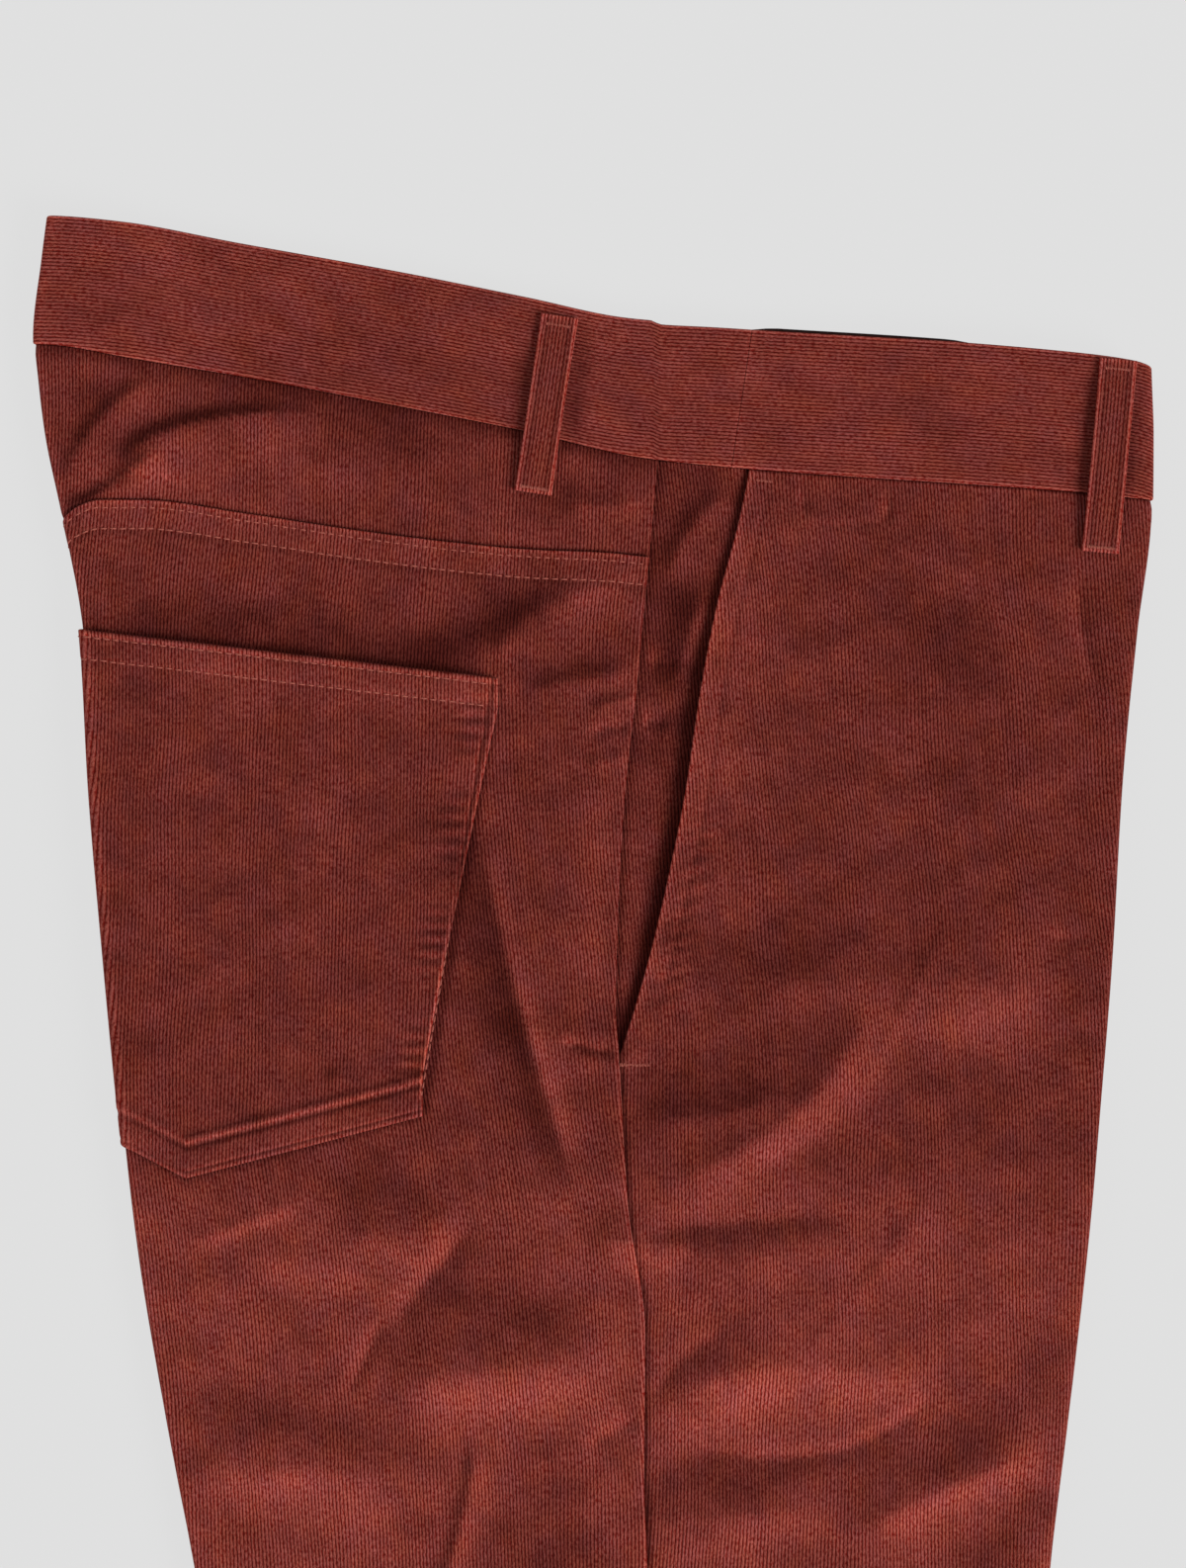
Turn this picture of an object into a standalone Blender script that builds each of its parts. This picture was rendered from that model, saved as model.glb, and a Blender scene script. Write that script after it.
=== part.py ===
"""Corduroy trousers, laid flat on the left side with the legs together.

The garment is read as two pressed tubes of cloth, one for each leg: the left one lies on the
surface and the right one lies on it. Each tube is folded at the back and front creases. Between
the legs, above the crotch, the tubes are open along the seat and fly seams, which are tucked in
between the two side faces.

Every piece is a wall of cloth over a patch of its leg's skin. The skin is the leg's outer face,
and a place on it is given in millimetres by
  q  the way across, counted along the cloth from the side seam, forward positive. Past a crease
     fold it goes on round the fold and back along the hidden inner layer;
  v  the way down from the top of the waistband at the side seam;
  d  the height over the skin, outward positive.
"""

import math

import bpy

MM = 0.001

# Cloth (mm)
CLOTH = 1.1          # needlecord, pile included
GAP = 0.3            # between pieces at a seam and between layers
BAND_WALL = 2.2      # the waistband: two layers of cloth, interlined
BAND_PROUD = 0.5     # how far the waistband stands over the panels sewn to it
HEM = 1050.0         # outside leg with the waistband
CROTCH = 265.0
PLAN_CENTRE_U = -19.0
PLAN_CENTRE_V = 508.5

# The crease folds, down the garment
FOLDS = {
    "columns": ("v", "back", "front"),
    "rows": (
        (-40, -185.0, 150.6),
        (-20, -187.6, 151.2),
        (4, -190.2, 151.8),
        (18, -189.0, 152.3),
        (34, -187.0, 152.8),
        (58, -182.0, 152.6),
        (95, -175.2, 148.2),
        (143, -172.4, 143.6),
        (192, -168.2, 140.8),
        (240, -163.6, 137.0),
        (289, -158.0, 132.7),
        (337, -149.9, 127.2),
        (381, -141.5, 121.8),
        (470, -126.5, 113.4),
        (600, -111.6, 106.4),
        (800, -101.0, 102.6),
        (1050, -88.6, 101.4),
    ),
}

# Where the cloth of the hidden inner layers ends above the crotch: the seat seam and the fly
RISE_EDGES = {
    "columns": ("v", "back", "front"),
    "rows": (
        (-40, -165.0, 95.5),
        (10, -169.0, 95.0),
        (54, -158.0, 94.6),
        (94, -120.0, 92.0),
        (150, -97.0, 84.0),
        (180, -84.0, 75.0),
        (215, -62.0, 52.0),
        (245, -34.0, 22.0),
        (265, -3.0, -3.0),
    ),
}
INSEAM = {"columns": ("v", "u"), "rows": ((265, -3.0), (600, -1.0), (1050, 8.0))}

SIDE_SEAM = {
    "columns": ("v", "u"),
    "rows": (
        (36, 1.5),
        (61, -0.6),
        (87, -3.0),
        (112, -5.4),
        (145, -9.0),
        (170, -10.6),
        (191, -11.4),
        (209, -11.8),
        (225, -10.7),
        (271, -7.9),
        (309, -2.7),
        (352, -3.0),
        (381, -2.1),
        (600, 1.5),
        (1050, 10.0),
    ),
}

# The slant pocket's mouth: the front panel's edge, down to where it meets the side seam
MOUTH_END = 225.0
POCKET_MOUTH = {
    "columns": ("v", "u"),
    "rows": (
        (36, 31.0),
        (61, 25.8),
        (87, 19.0),
        (112, 14.2),
        (145, 9.2),
        (170, 4.2),
        (191, -0.7),
        (209, -5.7),
        (225, -10.7),
    ),
}

# Heights of the four skins over the surface, from the bottom: the left leg's outer and inner
# ones, the right leg's inner one at the folds, and its outer one at the folds and in the middle.
# The upper side lies level over this share of the inner layer, and then falls to the middle.
BAND_INSIDE = BAND_WALL - BAND_PROUD
PATCH = GAP + CLOTH
BAND_SKINS = (
    BAND_PROUD + PATCH,
    BAND_PROUD + PATCH + 2 * BAND_INSIDE + GAP,
    3 * BAND_PROUD + PATCH + 2 * BAND_INSIDE + 2 * GAP,
    3 * BAND_PROUD + PATCH + 4 * BAND_INSIDE + 3 * GAP,
)
STACK = {
    "columns": (
        "v", "left_outer", "left_inner", "right_inner", "right_outer", "right_middle", "level",
    ),
    "rows": (
        (-40, *BAND_SKINS, 8.6, 1.0),
        (62, *BAND_SKINS, 8.6, 1.0),
        (75, BAND_SKINS[0], 5.0, 7.0, 10.6, 8.0, 0.7),
        (88, PATCH, 4.2, 7.3, 10.6, 7.7, 0.35),
        (180, PATCH, 4.2, 7.3, 10.6, 7.6, 0.35),
        (262, PATCH, 4.2, 7.3, 10.6, 8.4, 0.35),
        (310, 0.0, 4.2, 4.8, 9.4, 10.2, 0.2),
        (600, 0.0, 4.2, 4.8, 9.2, 9.6, 0.2),
        (1050, 0.0, 4.2, 4.8, 9.0, 9.0, 0.2),
    ),
}
FLAP_SHARE = 0.48    # the back pocket's flap covers this share of the inner layer's depth
FALL_RUN = 6.0       # how far past the inner layer's edge the fall goes on
FALL_RUN_LEVEL = 24.0    # the same, further, where the upper side stays level up to that edge
BAND_ZONE = (68.0, 88.0)    # between these the waistband's extra thickness runs out
FOLD_MARGIN = 25.0   # the large folds run out this near a crease

# The largest folds of the upper side, each a soft ridge (or trough) along a straight line that
# runs out over this share of its length, half of it past each end
FOLD_RUN_OUT = 0.6
LARGE_FOLDS = {
    "columns": ("from_u", "from_v", "to_u", "to_v", "half_width", "height"),
    "rows": (
        (-112, 36, -168, 60, 20, 1.1),
        (-64, 84, -8, 92, 26, -0.9),
        (-48, 180, -24, 270, 28, 0.9),
        (-70, 318, -4, 326, 26, 1.0),
        (12, 240, 40, 236, 24, -0.8),
        (102, 330, 60, 372, 28, -0.9),
        (-40, 560, 50, 590, 60, 0.9),
        (-30, 640, 30, 620, 50, -0.9),
        (20, 800, -30, 850, 60, 0.8),
    ),
}

# The waistband's edges and the yoke seam, across the garment in q
BAND_EDGES = {
    "columns": ("q", "top", "bottom"),
    "rows": (
        (-220, -33.5, 5.5),
        (-185, -33.0, 6.6),
        (-162, -31.0, 10.4),
        (-125, -24.4, 16.4),
        (-77, -15.8, 25.5),
        (-40, -8.4, 32.8),
        (-4, -1.0, 41.0),
        (28, 1.6, 44.4),
        (80, 4.8, 48.2),
        (130, 9.0, 51.8),
        (147, 11.4, 53.6),
        (160, 15.6, 54.8),
        (215, 19.0, 57.6),
    ),
}
YOKE_SEAM = {
    "columns": ("q", "v"),
    "rows": (
        (-220, 58.0),
        (-182, 58.0),
        (-157, 56.2),
        (-125, 59.8),
        (-93, 64.6),
        (-61, 68.4),
        (-36, 70.4),
        (-16, 71.0),
        (0, 72.6),
    ),
}
BAND_SEAM_Q = 27.0   # the join of the waistband's back and front pieces

# The back patch pocket's corners
POCKET_TOP = ((-198.0, 91.2), (-48.0, 108.6))
POCKET_BOTTOM = ((-213.0, 226.0), (-143.6, 262.0), (-71.0, 243.0))

# The pocket facing lies under the edges beside it
FACING_DEPTH = CLOTH + 0.5
FACING_UNDER_SEAM = 4.0
FACING_UNDER_FRONT = 14.0
FACING_END = 234.0

# The belt loops: the upper and lower ends of each middle line, and the width
LOOPS = {
    "columns": ("name", "top_q", "top_v", "bottom_q", "bottom_v"),
    "rows": (
        ("side_back_belt_loop", -29.0, -2.4, -37.2, 52.0),
        ("front_belt_loop", 142.0, 11.2, 136.4, 70.4),
    ),
}
LOOP_WIDTH = 11.6
LOOP_RAISE = 0.5     # the middle of a loop stands off the waistband

# How finely each piece is divided
PANEL_LEVELS = (
    80, 92, 106, 122, 140, 160, 180, 198, 213, 227, 240, 252, 265, 278, 294, 312, 332, 355, 381,
    425, 480, 540, 610, 700, 800, 920, HEM,
)
BACK_STEPS = {"outer_steps": 7, "inner_steps": 3}
FRONT_STEPS = {"outer_steps": 6, "inner_steps": 4}
POCKET_STEPS = {"outer_steps": 7, "inner_steps": 1}
FOLD_STEPS = 4
YOKE_SHARES = (0.0, 0.33, 0.67, 1.0)
POCKET_SHARES = (0.0, 0.18, 0.36, 0.54, 0.72, 0.88, 1.0)
FACING_ROWS = 10
FACING_COLUMNS = 4
LOOP_ROWS = 4

# A place on each line at which its height v is read
SIDE_SEAM_Q = 0.0
MOUTH_TOP_Q = 30.0
FOLD_Q = {"back": -190.0, "front": 160.0}

LEGS = ("right", "left")
OUT = {"back": -1, "front": 1}    # the way out of the garment at each crease
CORDUROY = (0.147, 0.024, 0.018, 1.0)
CORDUROY_DARK = (0.075, 0.012, 0.010, 1.0)


def read(table, column, at):
    """A column of a table at a place along its first column, as a smooth curve."""
    col = table["columns"].index(column)
    rows = table["rows"]
    xs = [row[0] for row in rows]
    ys = [row[col] for row in rows]
    slopes = [(ys[i + 1] - ys[i]) / (xs[i + 1] - xs[i]) for i in range(len(xs) - 1)]
    if at <= xs[0]:
        return ys[0] + slopes[0] * (at - xs[0])
    if at >= xs[-1]:
        return ys[-1] + slopes[-1] * (at - xs[-1])
    i = max(k for k in range(len(xs) - 1) if xs[k] <= at)
    ends = []
    for k in (i, i + 1):
        before = slopes[max(k - 1, 0)]
        after = slopes[min(k, len(slopes) - 1)]
        turns = before * after <= 0
        ends.append(0.0 if turns else 2 * before * after / (before + after))
    width = xs[i + 1] - xs[i]
    t = (at - xs[i]) / width
    return (
        ys[i] * (1 + 2 * t) * (1 - t) ** 2
        + ys[i + 1] * t * t * (3 - 2 * t)
        + ends[0] * width * t * (1 - t) ** 2
        - ends[1] * width * t * t * (1 - t)
    )


def ease(t):
    """0 below 0, 1 above 1, and a soft step between."""
    t = min(max(t, 0.0), 1.0)
    return t * t * (3 - 2 * t)


def mix(a, b, t):
    return a + (b - a) * t


def line(points, q):
    """The height v of a chain of straight lines at q, its ends carried on."""
    i = 0
    while i < len(points) - 2 and q > points[i + 1][0]:
        i += 1
    (q0, v0), (q1, v1) = points[i], points[i + 1]
    return v0 + (v1 - v0) * (q - q0) / (q1 - q0)


def large_folds(u, v):
    """The largest folds' height over the smooth upper side."""
    total = 0.0
    for from_u, from_v, to_u, to_v, half_width, height in LARGE_FOLDS["rows"]:
        along = (to_u - from_u, to_v - from_v)
        length = math.hypot(*along)
        t = ((u - from_u) * along[0] + (v - from_v) * along[1]) / length ** 2
        off = ((u - from_u) * along[1] - (v - from_v) * along[0]) / length
        ends = ease(t / FOLD_RUN_OUT + 0.5) * ease((1 - t) / FOLD_RUN_OUT + 0.5)
        total += height * ends * math.exp(-((off / half_width) ** 2))
    return total


def side_seam(v):
    return read(SIDE_SEAM, "u", v)


def front_edge(v):
    return read(POCKET_MOUTH, "u", v) if v < MOUTH_END else side_seam(v)


def inner_edge(end, v):
    return read(RISE_EDGES, end, v) if v < CROTCH else read(INSEAM, "u", v)


def outer_height(leg, u, v):
    """The height of a leg's outer face, which for the left leg is its underside."""
    if leg == "left":
        return read(STACK, "left_outer", v)
    level_share = read(STACK, "level", v)
    inward = 1.0
    for end in ("back", "front"):
        fold = read(FOLDS, end, v)
        depth = abs(inner_edge(end, v) - fold)
        past = abs(u - fold) - level_share * depth
        run = (1 - level_share) * depth + FALL_RUN + FALL_RUN_LEVEL * level_share
        inward *= ease(past / run)
    margin = min(u - read(FOLDS, "back", v), read(FOLDS, "front", v) - u)
    near_edge = ease(margin / FOLD_MARGIN)
    smooth = mix(read(STACK, "right_outer", v), read(STACK, "right_middle", v), inward)
    return smooth + near_edge * large_folds(u, v)


def inner_height(leg, u, v, end):
    """The height of the face that a leg turns to the other leg."""
    if leg == "left":
        return read(STACK, "left_inner", v)
    fold = read(FOLDS, end, v)
    share = (u - fold) / (inner_edge(end, v) - fold)
    near_band = ease((BAND_ZONE[1] - v) / (BAND_ZONE[1] - BAND_ZONE[0]))
    at_seam = read(STACK, "left_inner", v) + GAP + 2 * BAND_PROUD * near_band
    return mix(read(STACK, "right_inner", v), at_seam, ease((share - FLAP_SHARE) / (1 - FLAP_SHARE)))


def turn(leg, v, end):
    """Where the turn round a crease fold starts, its radius and the height of its middle."""
    fold = read(FOLDS, end, v)
    outer = outer_height(leg, fold, v)
    inner = inner_height(leg, fold, v, end)
    radius = abs(outer - inner) / 2
    return fold - OUT[end] * radius, radius, (outer + inner) / 2


def skin(leg, q, v, d):
    """The place of a point of cloth, in metres."""
    up = 1 if leg == "right" else -1
    end = "front" if q > 0 else "back"
    out = OUT[end]
    start, radius, middle = turn(leg, v, end)
    past = (q - start) * out
    if past <= 0:
        u = q
        z = outer_height(leg, u, v) + up * d
    elif past < math.pi * radius:
        angle = past / radius
        u = start + out * (radius + d) * math.sin(angle)
        z = middle + up * (radius + d) * math.cos(angle)
    else:
        u = start - out * (past - math.pi * radius)
        z = inner_height(leg, u, v, end) - up * d
    return ((u - PLAN_CENTRE_U) * MM, (PLAN_CENTRE_V - v) * MM, z * MM)


def unrolled(leg, u, v, end):
    """The q of a place on the inner layer that lies at u."""
    start, radius, _ = turn(leg, v, end)
    return start + OUT[end] * math.pi * radius + (start - u)


def across(leg, v_at, near, far, outer_steps, inner_steps, lead=()):
    """The points of a row of cloth, from near to far round a fold, after any leading ones."""
    end = "front" if far > 0 else "back"
    start, radius, _ = turn(leg, v_at(read(FOLDS, end, v_at(far))), end)
    round_it = OUT[end] * math.pi * radius
    qs = list(lead)
    qs += [mix(near, start, i / outer_steps) for i in range(outer_steps)]
    qs += [start + round_it * i / FOLD_STEPS for i in range(FOLD_STEPS)]
    qs += [mix(start + round_it, far, i / inner_steps) for i in range(inner_steps + 1)]
    return [(q, v_at(q)) for q in qs]


def flat_row(v_at, q_from, q_to, steps):
    """The points of one row of cloth that crosses no fold."""
    qs = [mix(q_from, q_to, i / steps) for i in range(steps + 1)]
    return [(q, v_at(q)) for q in qs]


def between(top, bottom, share):
    """A line across the garment, part of the way from one line to another."""
    return lambda q: mix(top(q), bottom(q), share)


def cloth(name, leg, rows, outside, inside, colour=CORDUROY):
    """A closed wall of cloth over rows of (q, v) points of one leg's skin."""
    count = len(rows[0])
    verts = []
    for height in (outside, inside):
        for r, row in enumerate(rows):
            d = height[r] if isinstance(height, (list, tuple)) else height
            verts += [skin(leg, q, v, d) for q, v in row]
    layer = len(rows) * count

    def at(r, c, side):
        return side * layer + r * count + c

    faces = []
    for r in range(len(rows) - 1):
        for c in range(count - 1):
            faces.append((at(r, c, 0), at(r + 1, c, 0), at(r + 1, c + 1, 0), at(r, c + 1, 0)))
            faces.append((at(r, c, 1), at(r, c + 1, 1), at(r + 1, c + 1, 1), at(r + 1, c, 1)))
    rim = [(0, c) for c in range(count - 1)]
    rim += [(r, count - 1) for r in range(len(rows) - 1)]
    rim += [(len(rows) - 1, c) for c in range(count - 1, 0, -1)]
    rim += [(r, 0) for r in range(len(rows) - 1, 0, -1)]
    for (r0, c0), (r1, c1) in zip(rim, rim[1:] + rim[:1]):
        faces.append((at(r0, c0, 0), at(r1, c1, 0), at(r1, c1, 1), at(r0, c0, 1)))
    mesh = bpy.data.meshes.new(name)
    mesh.from_pydata(verts, [], faces)
    mesh.validate()
    if signed_volume(mesh) < 0:
        mesh.flip_normals()
    mesh.shade_smooth()
    mesh.set_sharp_from_angle(angle=math.radians(50))
    mesh.materials.append(material(name, colour))
    thing = bpy.data.objects.new(name, mesh)
    bpy.context.collection.objects.link(thing)
    return thing


def signed_volume(mesh):
    """Six times the volume that the faces close in, positive when they point out."""
    total = 0.0
    for face in mesh.polygons:
        corners = [mesh.vertices[i].co for i in face.vertices]
        for b, c in zip(corners[1:], corners[2:]):
            total += corners[0].dot(b.cross(c))
    return total


def material(name, colour):
    made = bpy.data.materials.new(name)
    made.use_nodes = True
    shader = made.node_tree.nodes["Principled BSDF"]
    shader.inputs["Base Color"].default_value = colour
    shader.inputs["Roughness"].default_value = 0.9
    shader.inputs["Metallic"].default_value = 0.0
    return made


def band_top(q):
    return read(BAND_EDGES, "top", q)


def band_bottom(q):
    return read(BAND_EDGES, "bottom", q)


def yoke_seam(q):
    return read(YOKE_SEAM, "v", q)


def level(v):
    return lambda q: v


def inner_end(leg, v, end, gap=0.0):
    """The q at which the hidden layer ends, short of the seam there."""
    return unrolled(leg, inner_edge(end, v) + OUT[end] * gap, v, end)


def front_panel(leg):
    rows = []
    for v_at in [lambda q: band_bottom(q) + GAP] + [level(v) for v in PANEL_LEVELS]:
        near = front_edge(v_at(MOUTH_TOP_Q)) + GAP / 2
        far = inner_end(leg, v_at(FOLD_Q["front"]), "front", GAP / 2)
        rows.append(across(leg, v_at, near, far, **FRONT_STEPS))
    cloth(f"{leg}_front_panel", leg, rows, 0.0, -CLOTH)


def back_panel(leg):
    rows = []
    for v_at in [lambda q: yoke_seam(q) + GAP / 2] + [level(v) for v in PANEL_LEVELS]:
        near = side_seam(v_at(SIDE_SEAM_Q)) - GAP / 2
        far = inner_end(leg, v_at(FOLD_Q["back"]), "back", GAP / 2)
        rows.append(across(leg, v_at, near, far, **BACK_STEPS))
    cloth(f"{leg}_back_panel", leg, rows, 0.0, -CLOTH)


def back_yoke(leg):
    top = lambda q: band_bottom(q) + GAP
    bottom = lambda q: yoke_seam(q) - GAP / 2
    rows = []
    for share in YOKE_SHARES:
        v_at = between(top, bottom, share)
        near = side_seam(v_at(SIDE_SEAM_Q)) - GAP / 2
        far = inner_end(leg, v_at(FOLD_Q["back"]), "back", GAP / 2)
        rows.append(across(leg, v_at, near, far, **BACK_STEPS))
    cloth(f"{leg}_back_yoke", leg, rows, 0.0, -CLOTH)


def pocket_facing(leg):
    top = lambda q: band_bottom(q) + 2 * GAP
    rows = []
    for r in range(FACING_ROWS + 1):
        v_at = between(top, level(FACING_END), r / FACING_ROWS)
        v = v_at(SIDE_SEAM_Q)
        left = side_seam(v) - FACING_UNDER_SEAM
        rows.append(flat_row(v_at, left, front_edge(v) + FACING_UNDER_FRONT, FACING_COLUMNS))
    cloth(f"{leg}_pocket_facing", leg, rows, -FACING_DEPTH, -FACING_DEPTH - CLOTH, CORDUROY_DARK)


def back_pocket(leg):
    top = lambda q: line(POCKET_TOP, q)
    bottom = lambda q: line(POCKET_BOTTOM, q)
    rows = []
    for share in POCKET_SHARES:
        near = mix(POCKET_TOP[1][0], POCKET_BOTTOM[2][0], share)
        far = mix(POCKET_TOP[0][0], POCKET_BOTTOM[0][0], share)
        rows.append(across(leg, between(top, bottom, share), near, far, **POCKET_STEPS))
    cloth(f"{leg}_back_pocket", leg, rows, GAP + CLOTH, GAP)


def waistband(leg):
    for end, steps, edge_at, near_q in (
        ("back", BACK_STEPS, side_seam, SIDE_SEAM_Q),
        ("front", FRONT_STEPS, front_edge, MOUTH_TOP_Q),
    ):
        out = OUT[end]
        rows = []
        for share in (0.0, 0.5, 1.0):
            v_at = between(band_top, band_bottom, share)
            near = edge_at(band_bottom(near_q)) + out * GAP / 2
            far = inner_end(leg, v_at(FOLD_Q[end]), end, GAP / 2)
            lead = [BAND_SEAM_Q + out * GAP / 2]
            rows.append(across(leg, v_at, near, far, lead=lead, **steps))
        cloth(f"{leg}_waistband_{end}", leg, rows, BAND_PROUD, -BAND_INSIDE)


def belt_loops(leg):
    for name, top_q, top_v, bottom_q, bottom_v in LOOPS["rows"]:
        length = math.hypot(bottom_q - top_q, bottom_v - top_v)
        side = ((bottom_v - top_v) / length, -(bottom_q - top_q) / length)
        rows = []
        inside = []
        for share in [r / LOOP_ROWS for r in range(LOOP_ROWS + 1)]:
            middle = (mix(top_q, bottom_q, share), mix(top_v, bottom_v, share))
            rows.append([
                (middle[0] + side[0] * w * LOOP_WIDTH / 2, middle[1] + side[1] * w * LOOP_WIDTH / 2)
                for w in (-1, 0, 1)
            ])
            raise_by = LOOP_RAISE * math.sin(math.pi * share) if leg == "right" else 0.0
            inside.append(BAND_PROUD + GAP + raise_by)
        outside = [d + CLOTH for d in inside]
        cloth(f"{leg}_{name}", leg, rows, outside, inside)


def main():
    for thing in list(bpy.data.objects):
        bpy.data.objects.remove(thing, do_unlink=True)
    for leg in LEGS:
        front_panel(leg)
        back_panel(leg)
        back_yoke(leg)
        pocket_facing(leg)
        back_pocket(leg)
        waistband(leg)
        belt_loops(leg)


main()
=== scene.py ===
"""Needlecord trousers laid flat on their left side, with their stitches and a plain studio.

Each leg is a pressed tube of cloth. A place on a leg's skin, its outer face, is given in
millimetres by q, v and d. q counts across the cloth from the side seam, forward positive, round
the crease fold and back along the hidden inner layer. v counts down from the top of the waistband
at the side seam. d is the height over the skin, outward positive. u is the way across as seen from
above, which is q as far as the crease fold.
"""

import math
from dataclasses import dataclass

import bpy
import numpy as np
from bpy.props import FloatProperty, FloatVectorProperty, PointerProperty
from bpy.types import Operator, Panel, PropertyGroup
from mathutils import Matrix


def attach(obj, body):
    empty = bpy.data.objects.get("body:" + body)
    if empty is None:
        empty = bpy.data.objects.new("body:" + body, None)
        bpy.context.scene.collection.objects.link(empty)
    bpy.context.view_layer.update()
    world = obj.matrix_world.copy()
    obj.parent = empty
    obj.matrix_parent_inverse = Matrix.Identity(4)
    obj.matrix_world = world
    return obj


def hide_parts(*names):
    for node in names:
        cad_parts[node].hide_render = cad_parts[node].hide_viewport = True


bl_info = {
    "name": "Needlecord Trousers",
    "version": (1, 0, 0),
    "blender": (4, 5, 0),
    "location": "View3D > Sidebar > Trousers",
    "description": "Needlecord trousers laid flat, with their stitches and a plain studio",
    "category": "Add Mesh",
}

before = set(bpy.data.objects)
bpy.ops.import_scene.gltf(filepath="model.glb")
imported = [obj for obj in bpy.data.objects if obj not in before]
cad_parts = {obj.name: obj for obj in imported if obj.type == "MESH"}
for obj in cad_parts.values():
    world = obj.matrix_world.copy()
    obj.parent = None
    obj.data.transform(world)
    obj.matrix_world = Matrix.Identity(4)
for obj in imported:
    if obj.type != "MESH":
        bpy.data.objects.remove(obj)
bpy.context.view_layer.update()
BODY = "root"
CLOTH_SUFFIX = "_cloth"    # a piece is named for the node that it stands for, with this after it

MM = 0.001
LEGS = ("right", "left")
OUT = {"back": -1, "front": 1}    # the way out of the garment at each crease

# Cloth (mm), as in the solids
CLOTH = 1.1
GAP = 0.3            # between layers, and between the solids at a seam
SEAM_GAP = 0.01      # between the finished pieces at a seam
BAND_WALL = 2.2
BAND_PROUD = 0.5
BAND_INSIDE = BAND_WALL - BAND_PROUD
BAND_FACING = 0.6    # the inner part of the waistband's wall
PATCH = GAP + CLOTH
HEM = 1050.0
CROTCH = 265.0
PLAN_CENTRE_U = -19.0
PLAN_CENTRE_V = 508.5


def table(columns, *rows):
    """Rows of numbers under named columns."""
    return {"columns": columns.split(), "rows": rows}


# The crease folds, down the garment
FOLDS = table(
    "v back front",
    (-40, -185.0, 150.6), (-20, -187.6, 151.2), (4, -190.2, 151.8), (18, -189.0, 152.3),
    (34, -187.0, 152.8), (58, -182.0, 152.6), (95, -175.2, 148.2), (143, -172.4, 143.6),
    (192, -168.2, 140.8), (240, -163.6, 137.0), (289, -158.0, 132.7), (337, -149.9, 127.2),
    (381, -141.5, 121.8), (470, -126.5, 113.4), (600, -111.6, 106.4), (800, -101.0, 102.6),
    (1050, -88.6, 101.4),
)

# Where the hidden inner layers end: the seat seam and the fly, and the inseam below them
RISE_EDGES = table(
    "v back front",
    (-40, -165.0, 95.5), (10, -169.0, 95.0), (54, -158.0, 94.6), (94, -120.0, 92.0),
    (150, -97.0, 84.0), (180, -84.0, 75.0), (215, -62.0, 52.0), (245, -34.0, 22.0),
    (265, -3.0, -3.0),
)
INSEAM = table("v u", (265, -3.0), (600, -1.0), (1050, 8.0))

SIDE_SEAM = table(
    "v u",
    (36, 1.5), (61, -0.6), (87, -3.0), (112, -5.4), (145, -9.0), (170, -10.6), (191, -11.4),
    (209, -11.8), (225, -10.7), (271, -7.9), (309, -2.7), (352, -3.0), (381, -2.1), (600, 1.5),
    (1050, 10.0),
)

# The slant pocket's mouth: the front panel's edge, down to where it meets the side seam
MOUTH_END = 225.0
POCKET_MOUTH = table(
    "v u",
    (36, 31.0), (61, 25.8), (87, 19.0), (112, 14.2), (145, 9.2), (170, 4.2), (191, -0.7),
    (209, -5.7), (225, -10.7),
)

# Heights of the four skins over the surface, and how far in the upper side lies level
BAND_SKINS = (
    BAND_PROUD + PATCH,
    BAND_PROUD + PATCH + 2 * BAND_INSIDE + GAP,
    3 * BAND_PROUD + PATCH + 2 * BAND_INSIDE + 2 * GAP,
    3 * BAND_PROUD + PATCH + 4 * BAND_INSIDE + 3 * GAP,
)
STACK = table(
    "v left_outer left_inner right_inner right_outer right_middle level",
    (-40, *BAND_SKINS, 8.6, 1.0),
    (62, *BAND_SKINS, 8.6, 1.0),
    (75, BAND_SKINS[0], 5.0, 7.0, 10.6, 8.0, 0.7),
    (88, PATCH, 4.2, 7.3, 10.6, 7.7, 0.35),
    (180, PATCH, 4.2, 7.3, 10.6, 7.6, 0.35),
    (262, PATCH, 4.2, 7.3, 10.6, 8.4, 0.35),
    (310, 0.0, 4.2, 4.8, 9.4, 10.2, 0.2),
    (600, 0.0, 4.2, 4.8, 9.2, 9.6, 0.2),
    (1050, 0.0, 4.2, 4.8, 9.0, 9.0, 0.2),
)
FLAP_SHARE = 0.48
FALL_RUN = 6.0
FALL_RUN_LEVEL = 24.0
BAND_ZONE = (68.0, 88.0)
FOLD_MARGIN = 25.0

# The solids' largest folds, as ridges (or troughs) along straight lines
FOLD_RUN_OUT = 0.6
LARGE_FOLDS = table(
    "from_u from_v to_u to_v half_width height",
    (-112, 36, -168, 60, 20, 1.1),
    (-64, 84, -8, 92, 26, -0.9),
    (-48, 180, -24, 270, 28, 0.9),
    (-70, 318, -4, 326, 26, 1.0),
    (12, 240, 40, 236, 24, -0.8),
    (102, 330, 60, 372, 28, -0.9),
    (-40, 560, 50, 590, 60, 0.9),
    (-30, 640, 30, 620, 50, -0.9),
    (20, 800, -30, 850, 60, 0.8),
)

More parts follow.
